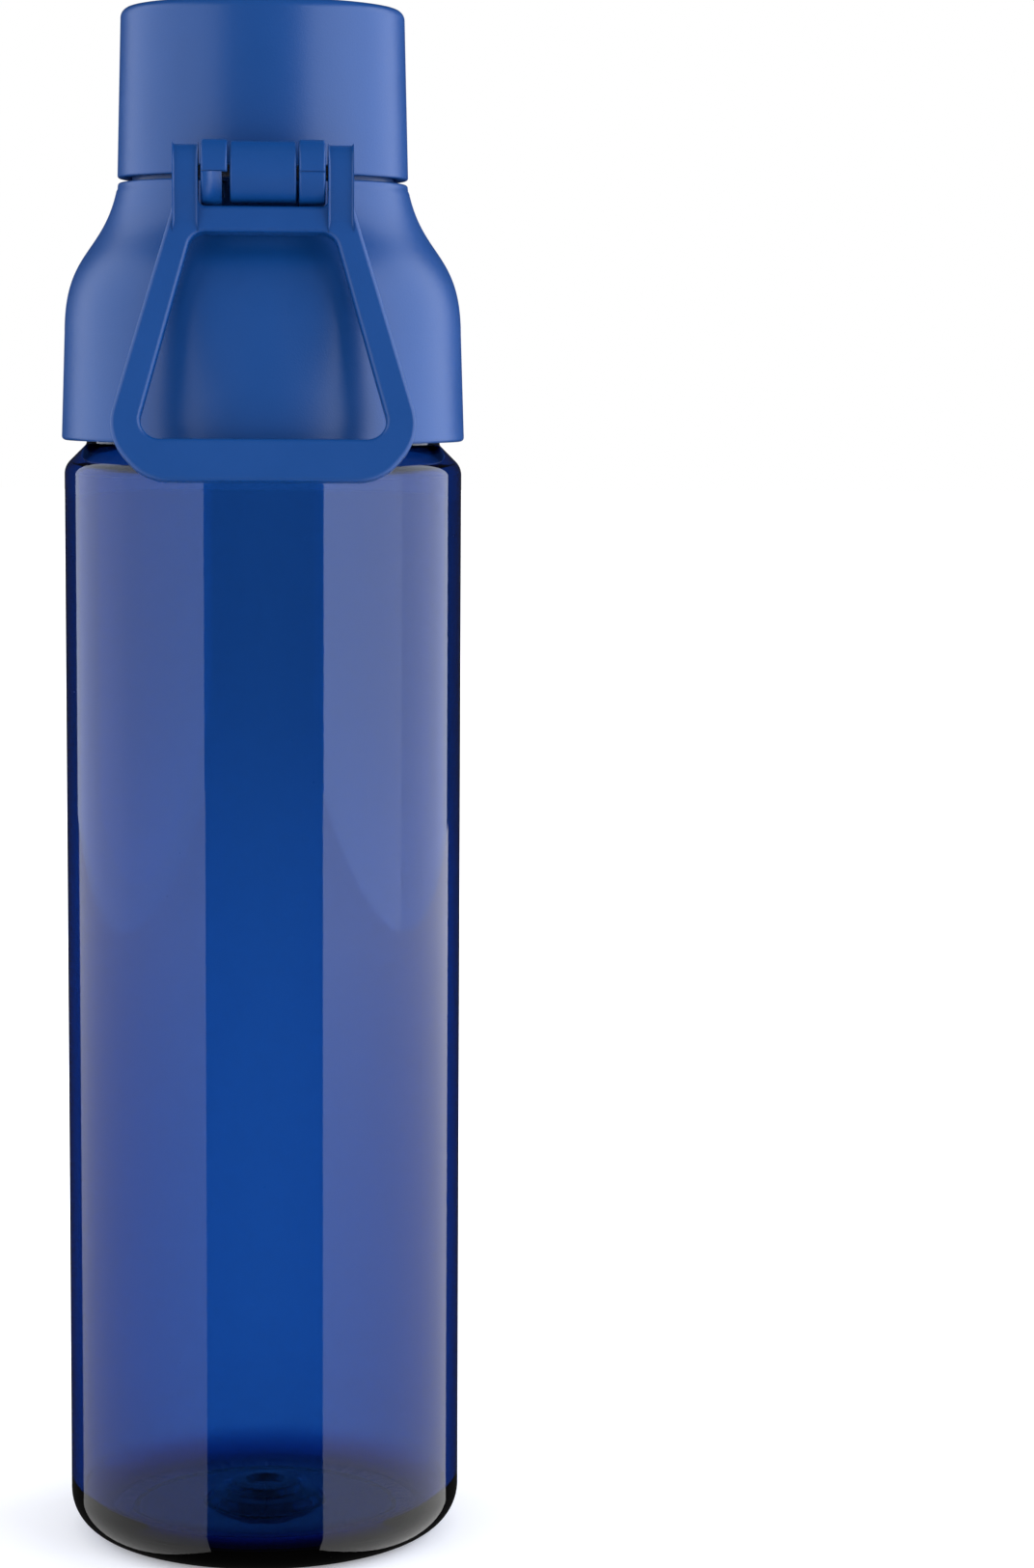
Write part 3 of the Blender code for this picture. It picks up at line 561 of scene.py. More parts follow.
@once("materials", "clear_blue_plastic")
def clear_blue(name):
    """Rigid clear plastic, tinted in its depth, its gloss broken by faint waves and rare dull specks."""
    made, tree, shader = new_material(name)
    settings = finish_settings()
    shader.inputs["Base Color"].default_value = (1, 1, 1, 1)
    shader.inputs["Transmission Weight"].default_value = 1.0
    shader.inputs["IOR"].default_value = 1.5
    grain = use_group(tree, moulded_grain(), Grain_size=1.2 * MM, Cloud_size=30 * MM, Speck_share=0.05)
    gloss = math_node(tree, "MULTIPLY_ADD", grain.outputs["Cloud"], 0.02, 0.005)
    gloss = math_node(tree, "MULTIPLY_ADD", grain.outputs["Speck"], 0.3, gloss)
    tree.links.new(gloss, shader.inputs["Roughness"])
    bump = node(tree, "ShaderNodeBump", Height=grain.outputs["Cloud"], Strength=0.1, Distance=0.1 * MM)
    tree.links.new(bump.outputs["Normal"], shader.inputs["Normal"])
    depth = tree.nodes.new("ShaderNodeVolumeAbsorption")
    depth.inputs["Color"].default_value = (*settings.tint, 1)
    depth.inputs["Density"].default_value = settings.tint_density
    tree.links.new(depth.outputs[0], tree.nodes["Material Output"].inputs["Volume"])
    return made


@once("materials", "soft_grey_silicone")
def silicone(name):
    """Soft grey silicone with a dusty, finely mottled surface."""
    made, tree, shader = new_material(name)
    grain = use_group(tree, moulded_grain(), Grain_size=0.3 * MM, Cloud_size=5 * MM, Speck_share=0.03)
    tone = mixed_colour(tree, grain.outputs["Cloud"], (0.5, 0.52, 0.55), (0.62, 0.64, 0.66))
    tree.links.new(tone, shader.inputs["Base Color"])
    dusty = math_node(tree, "MULTIPLY_ADD", grain.outputs["Grain"], 0.15, 0.5)
    tree.links.new(dusty, shader.inputs["Roughness"])
    shader.inputs["Subsurface Weight"].default_value = 0.2
    shader.inputs["Subsurface Radius"].default_value = (1, 1, 1)
    shader.inputs["Subsurface Scale"].default_value = 0.6 * MM
    bump = node(tree, "ShaderNodeBump", Height=grain.outputs["Grain"], Strength=0.3, Distance=0.03 * MM)
    tree.links.new(bump.outputs["Normal"], shader.inputs["Normal"])
    return made


def steel(name, colour, roughness, stretch):
    """Drawn steel: noise stretched along X makes fine drawing lines in roughness and height."""
    made, tree, shader = new_material(name)
    shader.inputs["Metallic"].default_value = 1.0
    place = node(tree, "ShaderNodeMapping", Vector=tree.nodes.new("ShaderNodeTexCoord").outputs["Object"])
    place.inputs["Scale"].default_value = (stretch, 1, 1)
    lines = node(tree, "ShaderNodeTexNoise", Vector=place.outputs[0], Scale=3500.0, Detail=2.0)
    grain = use_group(tree, moulded_grain(), Grain_size=0.5 * MM, Cloud_size=6 * MM, Speck_share=0.02)
    tone = mixed_colour(tree, grain.outputs["Cloud"], scaled_colour(colour, 0.9), colour)
    tree.links.new(tone, shader.inputs["Base Color"])
    spread = math_node(tree, "MULTIPLY_ADD", lines.outputs[0], 0.1, roughness - 0.05)
    tree.links.new(spread, shader.inputs["Roughness"])
    bump = node(tree, "ShaderNodeBump", Height=lines.outputs[0], Strength=0.2, Distance=0.01 * MM)
    tree.links.new(bump.outputs["Normal"], shader.inputs["Normal"])
    return made


@once("materials", "polished_wire")
def bright_wire(name):
    return steel(name, (0.86, 0.8, 0.79), 0.14, 0.2)


@once("materials", "drawn_spring_steel")
def spring_steel(name):
    return steel(name, (0.6, 0.6, 0.62), 0.28, 0.15)


# ---------------------------------------------------------------- pieces


class BOTTLE_OT_body(bpy.types.Operator):
    """Makes the clear body: foot ring, tall side, short cone and threaded neck, with its whole inner wall"""

    bl_idname = "bottle.body"
    bl_label = "Clear Body"

    def execute(self, context):
        wall = sizes().wall
        corner = sizes().base_corner
        radius = BODY_RADIUS
        inside = radius - wall
        neck = 31.3 * MM
        bore = 28.9 * MM
        cone = NECK_RIM_Z - 25.8 * MM
        floor = 4.4 * MM
        foot = corners_mm([(0.5, 0), (6.5, 0, 0.35), (7.4, 0.8, 0.35), (23.1, 0.8, 0.35), (24, 0, 0.35)])
        side = [(radius, 0, corner), (radius, cone, 3.4 * MM), (neck, cone + radius - neck, 0.8 * MM)]
        outside = rounded([*foot, *side, (neck, NECK_RIM_Z - 15 * MM)], turn=math.radians(4))
        ends = [(neck, NECK_RIM_Z - 14.9 * MM), (neck, NECK_RIM_Z - 1 * MM)]
        threaded = filled(np.array(ends), 0.25 * MM)
        mouth = [
            (neck, NECK_RIM_Z - 0.9 * MM), (neck, NECK_RIM_Z, 0.6 * MM), (bore, NECK_RIM_Z, 0.4 * MM),
            (bore, cone + 3.47 * MM, 2.5 * MM), (inside, cone - 0.83 * MM, 1.4 * MM),
            (inside, floor, corner - wall),
        ]
        raised = corners_mm(
            [(11.0, 0, 1.2), (9.6, 1.7, 0.7), (7.0, 2.1, 0.6), (6.2, 3.4, 0.7), (3.6, 3.6, 0.8),
             (2.6, 2.7, 0.6), (0.5, 2.5)],
            floor,
        )
        inner = rounded(mouth + raised, turn=math.radians(4))
        a = angles(sizes().columns)
        z = threaded[:, 1:]
        grown = threaded[:, :1] + thread_height(a, z, NECK_RIM_Z - 12 * MM, 1.3 * MM)
        rows = np.concatenate([turned(outside, a), carried(grown, z, a), turned(inner, a)])
        piece = skin("clear_body", rows, clear_blue(), "bottle", sharp=60)
        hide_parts("bottle_body")
        return {"FINISHED"}


def flare_line():
    """The collar's outside: a slightly drafted skirt, then one cubic curve up to below the rim."""
    skirt = filled(np.array(corners_mm([(35.61, 1.2), (35.04, 18.6)], SKIRT_Z)), 0.6 * MM)
    start = SKIRT_Z + 18.7 * MM
    curve = bezier(corners_mm([(35.03, 0), (35.03, 14.9), (27.95, 13.5), (25.55, 26.0)], start), 64)
    return np.vstack([skirt, curve[curve[:, 1] < COLLAR_TOP_Z - 1.3 * MM]])


def boss_radius(z):
    """The housing's front: upright at 30.6 mm, easing outwards below to meet the flare."""
    curve = bezier(corners_mm([(34.1, 223.4), (32.1, 228.5), (30.6, 231.5), (30.6, 238.5)]), 40)
    return np.interp(z, curve[:, 1], curve[:, 0])


def collar_angles():
    """Steps round the collar, close together over the housing's sides and the finger scoop."""
    runs = ((0, 21, 0.9), (21, 39, 0.36), (39, 150, 1.5), (150, 180, 0.6))
    half = np.concatenate([np.arange(*run) for run in runs] + [[180.0]])
    a = np.radians(half)
    return np.concatenate([a, 2 * math.pi - a[-2:0:-1]])


def collar_outside(a, radius, z):
    """Adds the button housing to the flare and takes the finger scoop out of it.

    The housing is the lower of its front radius and its sides' half width / |sin a|, and the higher of it and
    the flare is taken, both blended. The scoop is its depth times an ease across X and two up Z.
    """
    across = np.abs(np.sin(a))
    side = np.where(np.cos(a) > 0.3, BOSS_HALF / np.maximum(across, 0.2), 0.0)
    front = np.broadcast_to(boss_radius(z), np.broadcast(a, z).shape)
    housing = blend_low(front, np.broadcast_to(side, front.shape), 1.3 * MM)
    shape = blend_high(radius + 0 * side, np.where(z > HOUSING_FOOT_Z, housing, 0.0), 0.7 * MM)
    middle = 1 - ease(4.0 * MM, 14.0 * MM, radius * across)
    scoop = middle * ease(203 * MM, 226 * MM, z) * (1 - ease(229.5 * MM, 234 * MM, z))
    return shape - 1.5 * MM * scoop * (np.cos(a) < 0)


def recess_cutter():
    """The button's pocket: an oval carried inwards along Y from a rounded mouth to its floor."""
    half_width, half_height, centre = RECESS
    soft = 0.55 * MM
    t = np.linspace(0.2, math.pi / 2, 7)
    grows = np.concatenate([[soft * 1.1], soft * (1 - np.sin(t)), [0.0, 0.0]])
    depths = np.concatenate([[-12 * MM], soft * (1 - np.cos(t)), [2.4 * MM, HOUSING_FRONT - POCKET_RADIUS]])
    rows = [oval(half_width + grow, half_height + grow, centre, HOUSING_FRONT - depth)
            for grow, depth in zip(grows, depths)]
    rows += [oval(half_width, half_height, centre, POCKET_RADIUS, share) for share in (0.75, 0.5, 0.25, 0.05)]
    return cutter("pocket", np.stack(rows))


def oval(half_width, half_height, centre, radius, share=1.0):
    """An oval on the front of an upright cylinder, drawn in towards its middle by a share."""
    outline = stadium(half_width, half_height, centre)
    drawn = np.column_stack([outline[:, 0] * share, centre + (outline[:, 1] - centre) * share])
    return front_points(drawn, radius)


def front_points(outline, radius):
    """Lays (x, z) points on the front of an upright cylinder."""
    x, z = outline.T
    return np.column_stack([x, -np.sqrt(np.maximum(radius * radius - x * x, 0)), z])


class BOTTLE_OT_collar(bpy.types.Operator):
    """Makes the screw collar with its button housing, finger scoop, deck, spout, thread and hinge ears"""

    bl_idname = "bottle.collar"
    bl_label = "Screw Collar"

    def execute(self, context):
        edge = sizes().edge / MM
        a = collar_angles()
        deck = COLLAR_TOP_Z - 5.8 * MM
        foot = rounded([(COLLAR_BORE, SKIRT_Z + 2 * MM), (COLLAR_BORE, SKIRT_Z, 0.45 * MM),
                        *corners_mm([(35.65, 0, 0.7), (35.62, 1.1)], SKIRT_Z)])
        rim = corners_mm([(25.6, -1.1), (25.5, 0, 0.5), (23.0, 0, 0.15), (23.0, 1.5, 0.2), (22.3, 1.5, 0.2)],
                         COLLAR_TOP_Z)
        spout = corners_mm([(14.5, 0, 0.8), (11.9, 0, 0.8)], SPOUT_Z)
        under = corners_mm([(11.9, -2, edge), (25.3, -2, edge), (28.4, -5.3), (29, -7.1)], deck)
        shoulder = [(29 * MM, SHOULDER_Z, 0.3 * MM), (COLLAR_BORE, SHOULDER_Z, 0.3 * MM),
                    (COLLAR_BORE, 219 * MM)]
        inner = rounded([*rim, *corners_mm([(22.3, 0, 0.6), (14.9, 0, 0.9)], deck), *spout, *under, *shoulder])
        threaded = filled(np.array([(COLLAR_BORE, 218.8 * MM), (COLLAR_BORE, SKIRT_Z + 2.2 * MM)]), 0.4 * MM)
        flare = flare_line()
        top = turned(inner, a)
        lip = int((inner[:, 1] > COLLAR_TOP_Z - 1.2 * MM).cumprod().sum())
        share = np.clip((inner[:lip, :1] - LIP_RADIUS) / (RIM_RADIUS - LIP_RADIUS), 0, 1)
        reach = collar_outside(a, np.full((lip, 1), RIM_RADIUS), inner[:lip, 1:])
        top[:lip] = carried(inner[:lip, :1] + share * (reach - RIM_RADIUS), inner[:lip, 1:], a)
        z = threaded[:, 1:]
        ridge = threaded[:, :1] - thread_height(a, z, NECK_RIM_Z - 13.9 * MM, 1.2 * MM)
        outside = carried(collar_outside(a, flare[:, :1], flare[:, 1:]), flare[:, 1:], a)
        rows = np.concatenate([turned(foot, a), outside, top, carried(ridge, z, a)])
        piece = skin("collar", rows, matte_blue(), "collar", ring=True, sharp=45)
        tools = [recess_cutter()]
        for side in (-1, 1):
            low, high = sorted((side * 2.95 * MM, side * 6.9 * MM))
            slot = box_rows((low, -28 * MM, deck + 0.3 * MM), (high, -20 * MM, COLLAR_TOP_Z + 2 * MM))
            tools.append(cutter(f"hook_slot_{side}", slot))
        cut(piece, *tools)
        piece.data.materials.clear()
        piece.data.materials.append(matte_blue())
        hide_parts("collar_shell")
        for side in (-1, 1):
            self.ear(side)
        return {"FINISHED"}

    def ear(self, side):
        """One round ear with a web that runs into the flare: an arc of 5.5 mm and straight runs."""
        y, z = REAR_PIN[1:]
        radius = 5.5 * MM
        t = np.radians(np.linspace(-90, 150, 49))
        arc = np.column_stack([y + radius * np.cos(t), z + radius * np.sin(t)])
        web = rounded([tuple(arc[-1]), (25.0 * MM, z - 1.2 * MM), (24.8 * MM, z - radius), tuple(arc[0])])
        outline = filled(np.vstack([arc, web[1:-1], arc[:1]]), 0.8 * MM)[:-1]
        low, high = sorted((side * 6.0 * MM, side * 10.45 * MM))
        name = "ear_left" if side < 0 else "ear_right"
        piece = skin(name, slab(outline, low, high, 0.45 * MM, along_x), matte_blue(), "collar")
        groove = box_rows((low - MM, y + 5.3 * MM, z - 0.12 * MM), (high + MM, y + 9 * MM, z + 0.06 * MM))
        tools = [cutter("parting_groove", groove)]
        if side > 0:
            slot = box_rows((5.5 * MM, 25.5 * MM, z - 9 * MM), (6.9 * MM, 41 * MM, z - 0.12 * MM))
            tools.append(cutter("spring_slot", slot))
        cut(piece, *tools)
        even(piece)


class BOTTLE_OT_lid(bpy.types.Operator):
    """Makes the lid: a slightly tapered cap, the upper half of the button housing and the hinge's knuckle"""

    bl_idname = "bottle.lid"
    bl_label = "Flip Lid"

    def execute(self, context):
        roof = LID_TOP_Z - 2.2 * MM
        line = rounded(
            [
                (0.5 * MM, roof), (22.7 * MM, roof, 1.2 * MM), (23.4 * MM, LID_BOTTOM_Z, 0.3 * MM),
                (25.6 * MM, LID_BOTTOM_Z, 0.45 * MM), (25.55 * MM, LID_BOTTOM_Z + 2 * MM),
                (24.88 * MM, LID_TOP_Z, 1.8 * MM), (0.5 * MM, LID_TOP_Z),
            ],
            turn=math.radians(8),
        )
        piece = skin("lid", turned(filled(line, 2.5 * MM)), matte_blue(), "lid", sharp=45)
        tools = []
        for side in (-1, 1):
            low, high = sorted((side * 2.8 * MM, side * 7.0 * MM))
            window = box_rows((low, -28 * MM, LID_BOTTOM_Z + 1.8 * MM),
                              (high, -20 * MM, LID_BOTTOM_Z + 4.3 * MM))
            tools.append(cutter(f"catch_window_{side}", window))
        cut(piece, *tools)
        even(piece)
        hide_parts("lid_shell")
        self.housing()
        self.knuckle()
        return {"FINISHED"}

    def housing(self):
        """The arch over the button: a rounded section carried from one foot over the top to the other.

        Its inner line is the recess's upper half and its outer line is two quarter ellipses and a flat. The
        section runs between them, and from inside the lid's wall out to the housing's front, whose edges round.
        """
        half_width, half_height, centre = RECESS
        foot = LID_BOTTOM_Z + 0.05 * MM
        top = LID_BOTTOM_Z + 8.5 * MM
        start = math.asin((foot - centre) / half_height)
        a = np.linspace(start, math.pi / 2, 25)
        b = np.linspace(0, math.pi / 2, 25)
        reach = half_width - half_height
        inner = np.column_stack([reach + half_height * np.cos(a), centre + half_height * np.sin(a)])
        outer = np.column_stack([7.1 * MM + 7.0 * MM * np.cos(b), foot + (top - foot) * np.sin(b)])
        flat = np.linspace(1, -1, 15)[1:-1, None]
        mirror = np.array([-1.0, 1.0])
        inner = np.vstack([inner, inner[-1] * np.hstack([flat, flat * 0 + 1]), inner[::-1] * mirror])
        outer = np.vstack([outer, outer[-1] * np.hstack([flat, flat * 0 + 1]), outer[::-1] * mirror])
        width = np.linalg.norm(outer - inner, axis=1)[:, None]
        t = np.linspace(0, math.pi / 2, 7)
        near, far = 0.5 * MM, 0.8 * MM
        back = 24.4 * MM
        across = np.concatenate([[0.0], near * (1 - np.cos(t)), far * (np.sin(t) - 1), [0.0]])
        from_outer = np.repeat([0.0, 1.0], 8)
        drop = np.concatenate([near * (1 - np.sin(t)), far * (1 - np.cos(t))])
        radius = np.concatenate([[back], HOUSING_FRONT - drop, [back]])
        share = from_outer + across / width
        place = inner[:, None] + (outer - inner)[:, None] * share[..., None]
        x = place[..., 0]
        rows = np.stack([x, -np.sqrt(np.maximum(radius * radius - x * x, 0)), place[..., 1]], -1)
        piece = skin("button_arch", rows, matte_blue(), "lid", sharp=50)
        even(piece)

    def knuckle(self):
        """The hinge's middle barrel with a web into the lid's wall."""
        y, z = REAR_PIN[1:]
        radius = 5.2 * MM
        t = np.radians(np.linspace(-178, 110, 57))
        arc = np.column_stack([y + radius * np.cos(t), z + radius * np.sin(t)])
        web = [(24.6 * MM, z + 4.9 * MM), (24.6 * MM, LID_BOTTOM_Z + 0.2 * MM)]
        outline = filled(np.vstack([arc, web, arc[:1]]), 0.8 * MM)[:-1]
        piece = skin("knuckle", slab(outline, -5.55 * MM, 5.55 * MM, 0.35 * MM, along_x), matte_blue(), "lid")
        even(piece)


class BOTTLE_OT_button(bpy.types.Operator):
    """Makes the push button: an oval pad with a soft rim, two latch hooks and the lugs on the wire"""

    bl_idname = "bottle.button"
    bl_label = "Push Button"

    def execute(self, context):
        half_width, half_height, centre = 11.85 * MM, 5.5 * MM, RECESS[2] - 0.3 * MM
        front, back, soft = 30.0 * MM, 27.6 * MM, 0.9 * MM
        t = np.linspace(0, math.pi / 2, 9)
        rows = [oval(half_width, half_height, centre, back, share) for share in (0.05, 0.4, 0.7, 0.96)]
        rows.append(oval(half_width, half_height, centre, back + 0.3 * MM))
        for i in t:
            drop = soft * (1 - math.cos(i))
            rows.append(oval(half_width - drop, half_height - drop, centre, front - soft + soft * math.sin(i)))
        rows += [oval(half_width - soft, half_height - soft, centre, front, share)
                 for share in (0.75, 0.5, 0.25, 0.05)]
        piece = skin("button_pad", np.stack(rows), matte_blue(), "button", sharp=50)
        even(piece)
        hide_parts("push_button")
        y, z = FRONT_PIN[1:]
        hook = rounded(
            corners_mm(
                [(-28.5, 0.3, 0.3), (-20.5, 0.3, 0.8), (-20.5, 9.3, 0.3), (-21.9, 9.3, 0.2), (-23.4, 8.7, 0.2),
                 (-23.4, 7.6, 0.1), (-21.9, 7.6, 0.2), (-21.9, 3.7, 0.8), (-28.5, 3.7, 0.3)],
                z,
            ),
            closed=True,
        )
        a = angles(28)
        lug = np.column_stack([y + 1.0 * MM * np.cos(a), z + 1.0 * MM * np.sin(a)])
        arm = rounded([(y - 2.6 * MM, z - 0.4 * MM, 0.1 * MM), (y + 0.2 * MM, z - 0.7 * MM, 0.3 * MM),
                       (y + 0.2 * MM, z + 0.9 * MM, 0.3 * MM), (y - 2.6 * MM, z + 2.2 * MM, 0.1 * MM)],
                      closed=True)
        latch = (("hook", hook, 3.4, 6.4), ("lug", lug, 6.7, 8.2), ("lug_arm", arm, 6.8, 8.1))
        for side, word in ((-1, "left"), (1, "right")):
            for name, outline, near, far in latch:
                low, high = sorted((side * near * MM, side * far * MM))
                rows = slab(outline, low, high, 0.08 * MM, along_x)
                part = skin(f"button_{name}_{word}", rows, matte_blue(), "button")
        return {"FINISHED"}


class BOTTLE_OT_wire(bpy.types.Operator):
    """Makes the lock's bright wire: two inward legs, short straight sides, wide bends and a bar"""

    bl_idname = "bottle.wire"
    bl_label = "Lock Wire"

    def execute(self, context):
        half, length, straight, bar = 15.9 * MM, 16.4 * MM, 8.3 * MM, 8.1 * MM
        leg = rounded([(8.0 * MM, 0), (half, 0, 2.6 * MM), (half, straight - 0.4 * MM)], turn=math.radians(6))
        a = np.linspace(0, math.pi / 2, 20)
        bend = np.column_stack([bar + (half - bar) * np.cos(a), straight + (length - straight) * np.sin(a)])
        right = filled(np.vstack([leg, bend]), 0.6 * MM)
        middle = np.linspace(1, -1, 25)[1:-1, None] * np.array([bar, 0]) + np.array([0, length])
        flat = np.vstack([right, middle, right[::-1] * np.array([-1.0, 1.0])])
        path = np.column_stack([flat[:, 0], FRONT_PIN[1] - flat[:, 1] * math.sin(WIRE_LEAN),
                                FRONT_PIN[2] - flat[:, 1] * math.cos(WIRE_LEAN)])
        normal = np.broadcast_to([0, -math.cos(WIRE_LEAN), math.sin(WIRE_LEAN)], path.shape)
        piece = skin("lock_wire", tube(path, normal, sizes().wire, 28), bright_wire(), "bail", sharp=60)
        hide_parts("wire_bail")
        return {"FINISHED"}


class BOTTLE_OT_loop(bpy.types.Operator):
    """Makes the carry loop: a flat frame with rounded rims and two barrels on the pin"""

    bl_idname = "bottle.loop"
    bl_label = "Carry Loop"

    def execute(self, context):
        half = sizes().loop_thickness / 2
        near, far = 10.9 * MM, 15.2 * MM
        frame_side = corners_mm([(26.55, 44.5, 8.5), (20, 52.3, 9), (-20, 52.3, 9), (-26.55, 44.5, 8.5)])
        outer = rounded(
            [
                (far, 0), (far, 6 * MM, 6 * MM), *frame_side, (-far, 6 * MM, 6 * MM), (-far, 0),
                (-near, 0), (-near, 6 * MM, 1.2 * MM), (near, 6 * MM, 1.2 * MM), (near, 0),
            ],
            closed=True, turn=math.radians(5),
        )
        window = rounded(
            corners_mm([(11.9, 10.4, 3), (21.6, 45.2, 3.2), (-21.6, 45.2, 3.2), (-11.9, 10.4, 3)]),
            closed=True, turn=math.radians(5),
        )
        piece = self.plate("carry_loop", [outer, window], half, 0.75 * MM)
        even(piece)
        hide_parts("carry_handle")
        self.barrels(near, far, half)
        return {"FINISHED"}

    def barrels(self, near, far, half):
        """Round ends on the pin, whose sides ease down to the frame's thickness, with the pin's hole in them.

        From the side each is a half circle of 4.6 mm with a cubic curve on each side. The hole's rim has as
        many points, so the section runs out over the rim, across, and back through the hole.
        """
        radius, reach = 4.6 * MM, 10 * MM
        t = np.linspace(math.pi, 2 * math.pi, 37)
        top = np.column_stack([radius * np.sin(t), radius * np.cos(t)])
        thin = half - 0.1 * MM
        side = bezier([(0, radius), (4.5 * MM, radius), (6 * MM, thin), (reach, thin)], 16)[1:]
        outline = np.vstack([top, side, side[::-1] * [1, -1]])
        a = np.arctan2(outline[:, 0], -outline[:, 1])
        hole = 1.6 * MM * np.column_stack([np.sin(a), -np.cos(a)])
        for sign, word in ((-1, "right"), (1, "left")):
            low, high = sorted((sign * near, sign * far))
            rows = slab(outline, low, high, 0.5 * MM, loop_place)[1:-1]
            inner = np.stack([loop_place(*hole.T, d) for d in (high, low)])
            rows = np.concatenate([rows, inner])
            barrel = skin(f"loop_barrel_{word}", rows, matte_blue(), "handle", ring=True)
            even(barrel)

    def plate(self, name, outlines, half, edge):
        """A flat frame in the loop's leaning plane, cut from outlines of (x, distance down from the pin)."""
        curve = bpy.data.curves.new(name, "CURVE")
        curve.dimensions = "2D"
        curve.fill_mode = "BOTH"
        curve.bevel_depth = edge
        curve.bevel_resolution = 4
        curve.extrude = half - edge
        curve.offset = -edge
        for outline in outlines:
            spline = curve.splines.new("POLY")
            spline.points.add(len(outline) - 1)
            spline.points.foreach_set("co", np.column_stack([outline, np.zeros((len(outline), 1)),
                                                             np.ones((len(outline), 1))]).ravel())
            spline.use_cyclic_u = True
        drawn = bpy.data.objects.new(name + "_line", curve)
        bpy.context.scene.collection.objects.link(drawn)
        graph = bpy.context.evaluated_depsgraph_get()
        graph.update()
        mesh = bpy.data.meshes.new_from_object(drawn.evaluated_get(graph), depsgraph=graph)
        bpy.data.objects.remove(drawn)
        flat = np.empty(len(mesh.vertices) * 3)
        mesh.vertices.foreach_get("co", flat)
        x, down, out = flat.reshape(-1, 3).T
        mesh.vertices.foreach_set("co", loop_place(down, out, x).ravel())
        outwards(mesh)
        mesh.shade_smooth()
        mesh.set_sharp_from_angle(angle=math.radians(35))
        mesh.materials.clear()
        mesh.materials.append(matte_blue())
        piece = bpy.data.objects.new(name, mesh)
        bpy.context.scene.collection.objects.link(piece)
        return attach(piece, "handle")


def loop_place(down, out, across):
    """Turns distances down the loop's leaning plane, out of it and across it into points."""
    y, z = REAR_PIN[1:]
    return np.column_stack([np.broadcast_to(across, down.shape),
                            y + down * math.sin(LOOP_LEAN) + out * math.cos(LOOP_LEAN),
                            z - down * math.cos(LOOP_LEAN) + out * math.sin(LOOP_LEAN)])


def outwards(mesh):
    """Merges doubled points and turns every face outwards."""
    shape = bmesh.new()
    shape.from_mesh(mesh)
    bmesh.ops.remove_doubles(shape, verts=shape.verts, dist=0.001 * MM)
    bmesh.ops.recalc_face_normals(shape, faces=shape.faces)
    shape.to_mesh(mesh)
    shape.free()


class BOTTLE_OT_hinge(bpy.types.Operator):
    """Makes the hinge's steel pin and the two springs"""

    bl_idname = "bottle.hinge"
    bl_label = "Pin and Springs"

    def execute(self, context):
        y, z = REAR_PIN[1:]
        line = rounded(corners_mm([(0.2, -14.9), (1.45, -14.9, 0.3), (1.45, 14.9, 0.3), (0.2, 14.9)]))
        a = angles(48)
        radius, along = line[:, :1], line[:, 1:]
        rows = np.stack([along + 0 * a, y + radius * np.cos(a), z + radius * np.sin(a)], -1)
        pin = skin("pin", rows, spring_steel(), "collar")
        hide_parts("hinge_pin")
        t = np.linspace(0, 1, 200)[:, None]
        a = 2 * math.pi * 3 * t
        out = np.hstack([np.cos(a), 0 * a, np.sin(a)])
        path = out * 1.5 * MM + np.hstack([0 * t, (-27.2 + 2.2 * t) * MM, 0 * t + 241.4 * MM])
        coil = skin("return_spring", tube(path, out, 0.22 * MM, 14), spring_steel(), "collar", sharp=60)
        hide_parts("button_spring")
        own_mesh(coil)
        t = np.linspace(0, 1, 260)[:, None]
        a = 2 * math.pi * 4 * t
        out = np.hstack([0 * a, np.cos(a), np.sin(a)])
        path = out * 2.35 * MM + np.hstack([(-4.6 + 3.2 * t) * MM, 0 * t + y, 0 * t + z])
        coil = skin("flip_spring", tube(path, out, 0.35 * MM, 14), spring_steel(), "lid", sharp=60)
        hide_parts("torsion_spring")
        return {"FINISHED"}


class BOTTLE_OT_seals(bpy.types.Operator):
    """Makes the lid's liner, the spout seal and the neck's gasket"""

    bl_idname = "bottle.seals"
    bl_label = "Liner and Seals"

    def execute(self, context):
        high = LID_TOP_Z - 2.5 * MM
        low = corners_mm([(0.5, 259.7), (15.7, 259.7), (15.7, 258.3, 0.2), (17.2, 258.3, 0.4)])
        upper = corners_mm([(17.2, -1.8, 0.5), (21.2, -1.8, 0.3), (21.2, 0, 0.3), (15.4, 0, 0.3)], high)
        cup = rounded([*low, *upper, *corners_mm([(15.4, 261.4, 0.5), (0.5, 261.4)])])
        seal = rounded(
            corners_mm(
                [(0.5, 257.9), (9.5, 257.9, 1), (10.8, 257.5, 0.6), (11.7, 257.3, 0.3), (15.0, 257.3, 0.4),
                 (15.4, 257.7, 0.3), (15.4, 259.4, 0.3), (0.5, 259.4)]
            )
        )
        ring = rounded(
            corners_mm([(29.4, 0.3, 0.4), (32.5, 0.3, 0.4), (32.5, 2.1, 0.4), (29.4, 2.1, 0.4)], NECK_RIM_Z),
            closed=True,
        )
        for name, line, body, replaced, closed in (
            ("liner", cup, "lid", "lid_liner", False), ("seal", seal, "lid", "spout_seal", False),
            ("gasket", ring, "gasket_ring", "collar_gasket", True),
        ):
            piece = even(skin(name, turned(line, angles(144)), silicone(), body, ring=closed))
            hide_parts(replaced)
        return {"FINISHED"}


# ---------------------------------------------------------------- studio


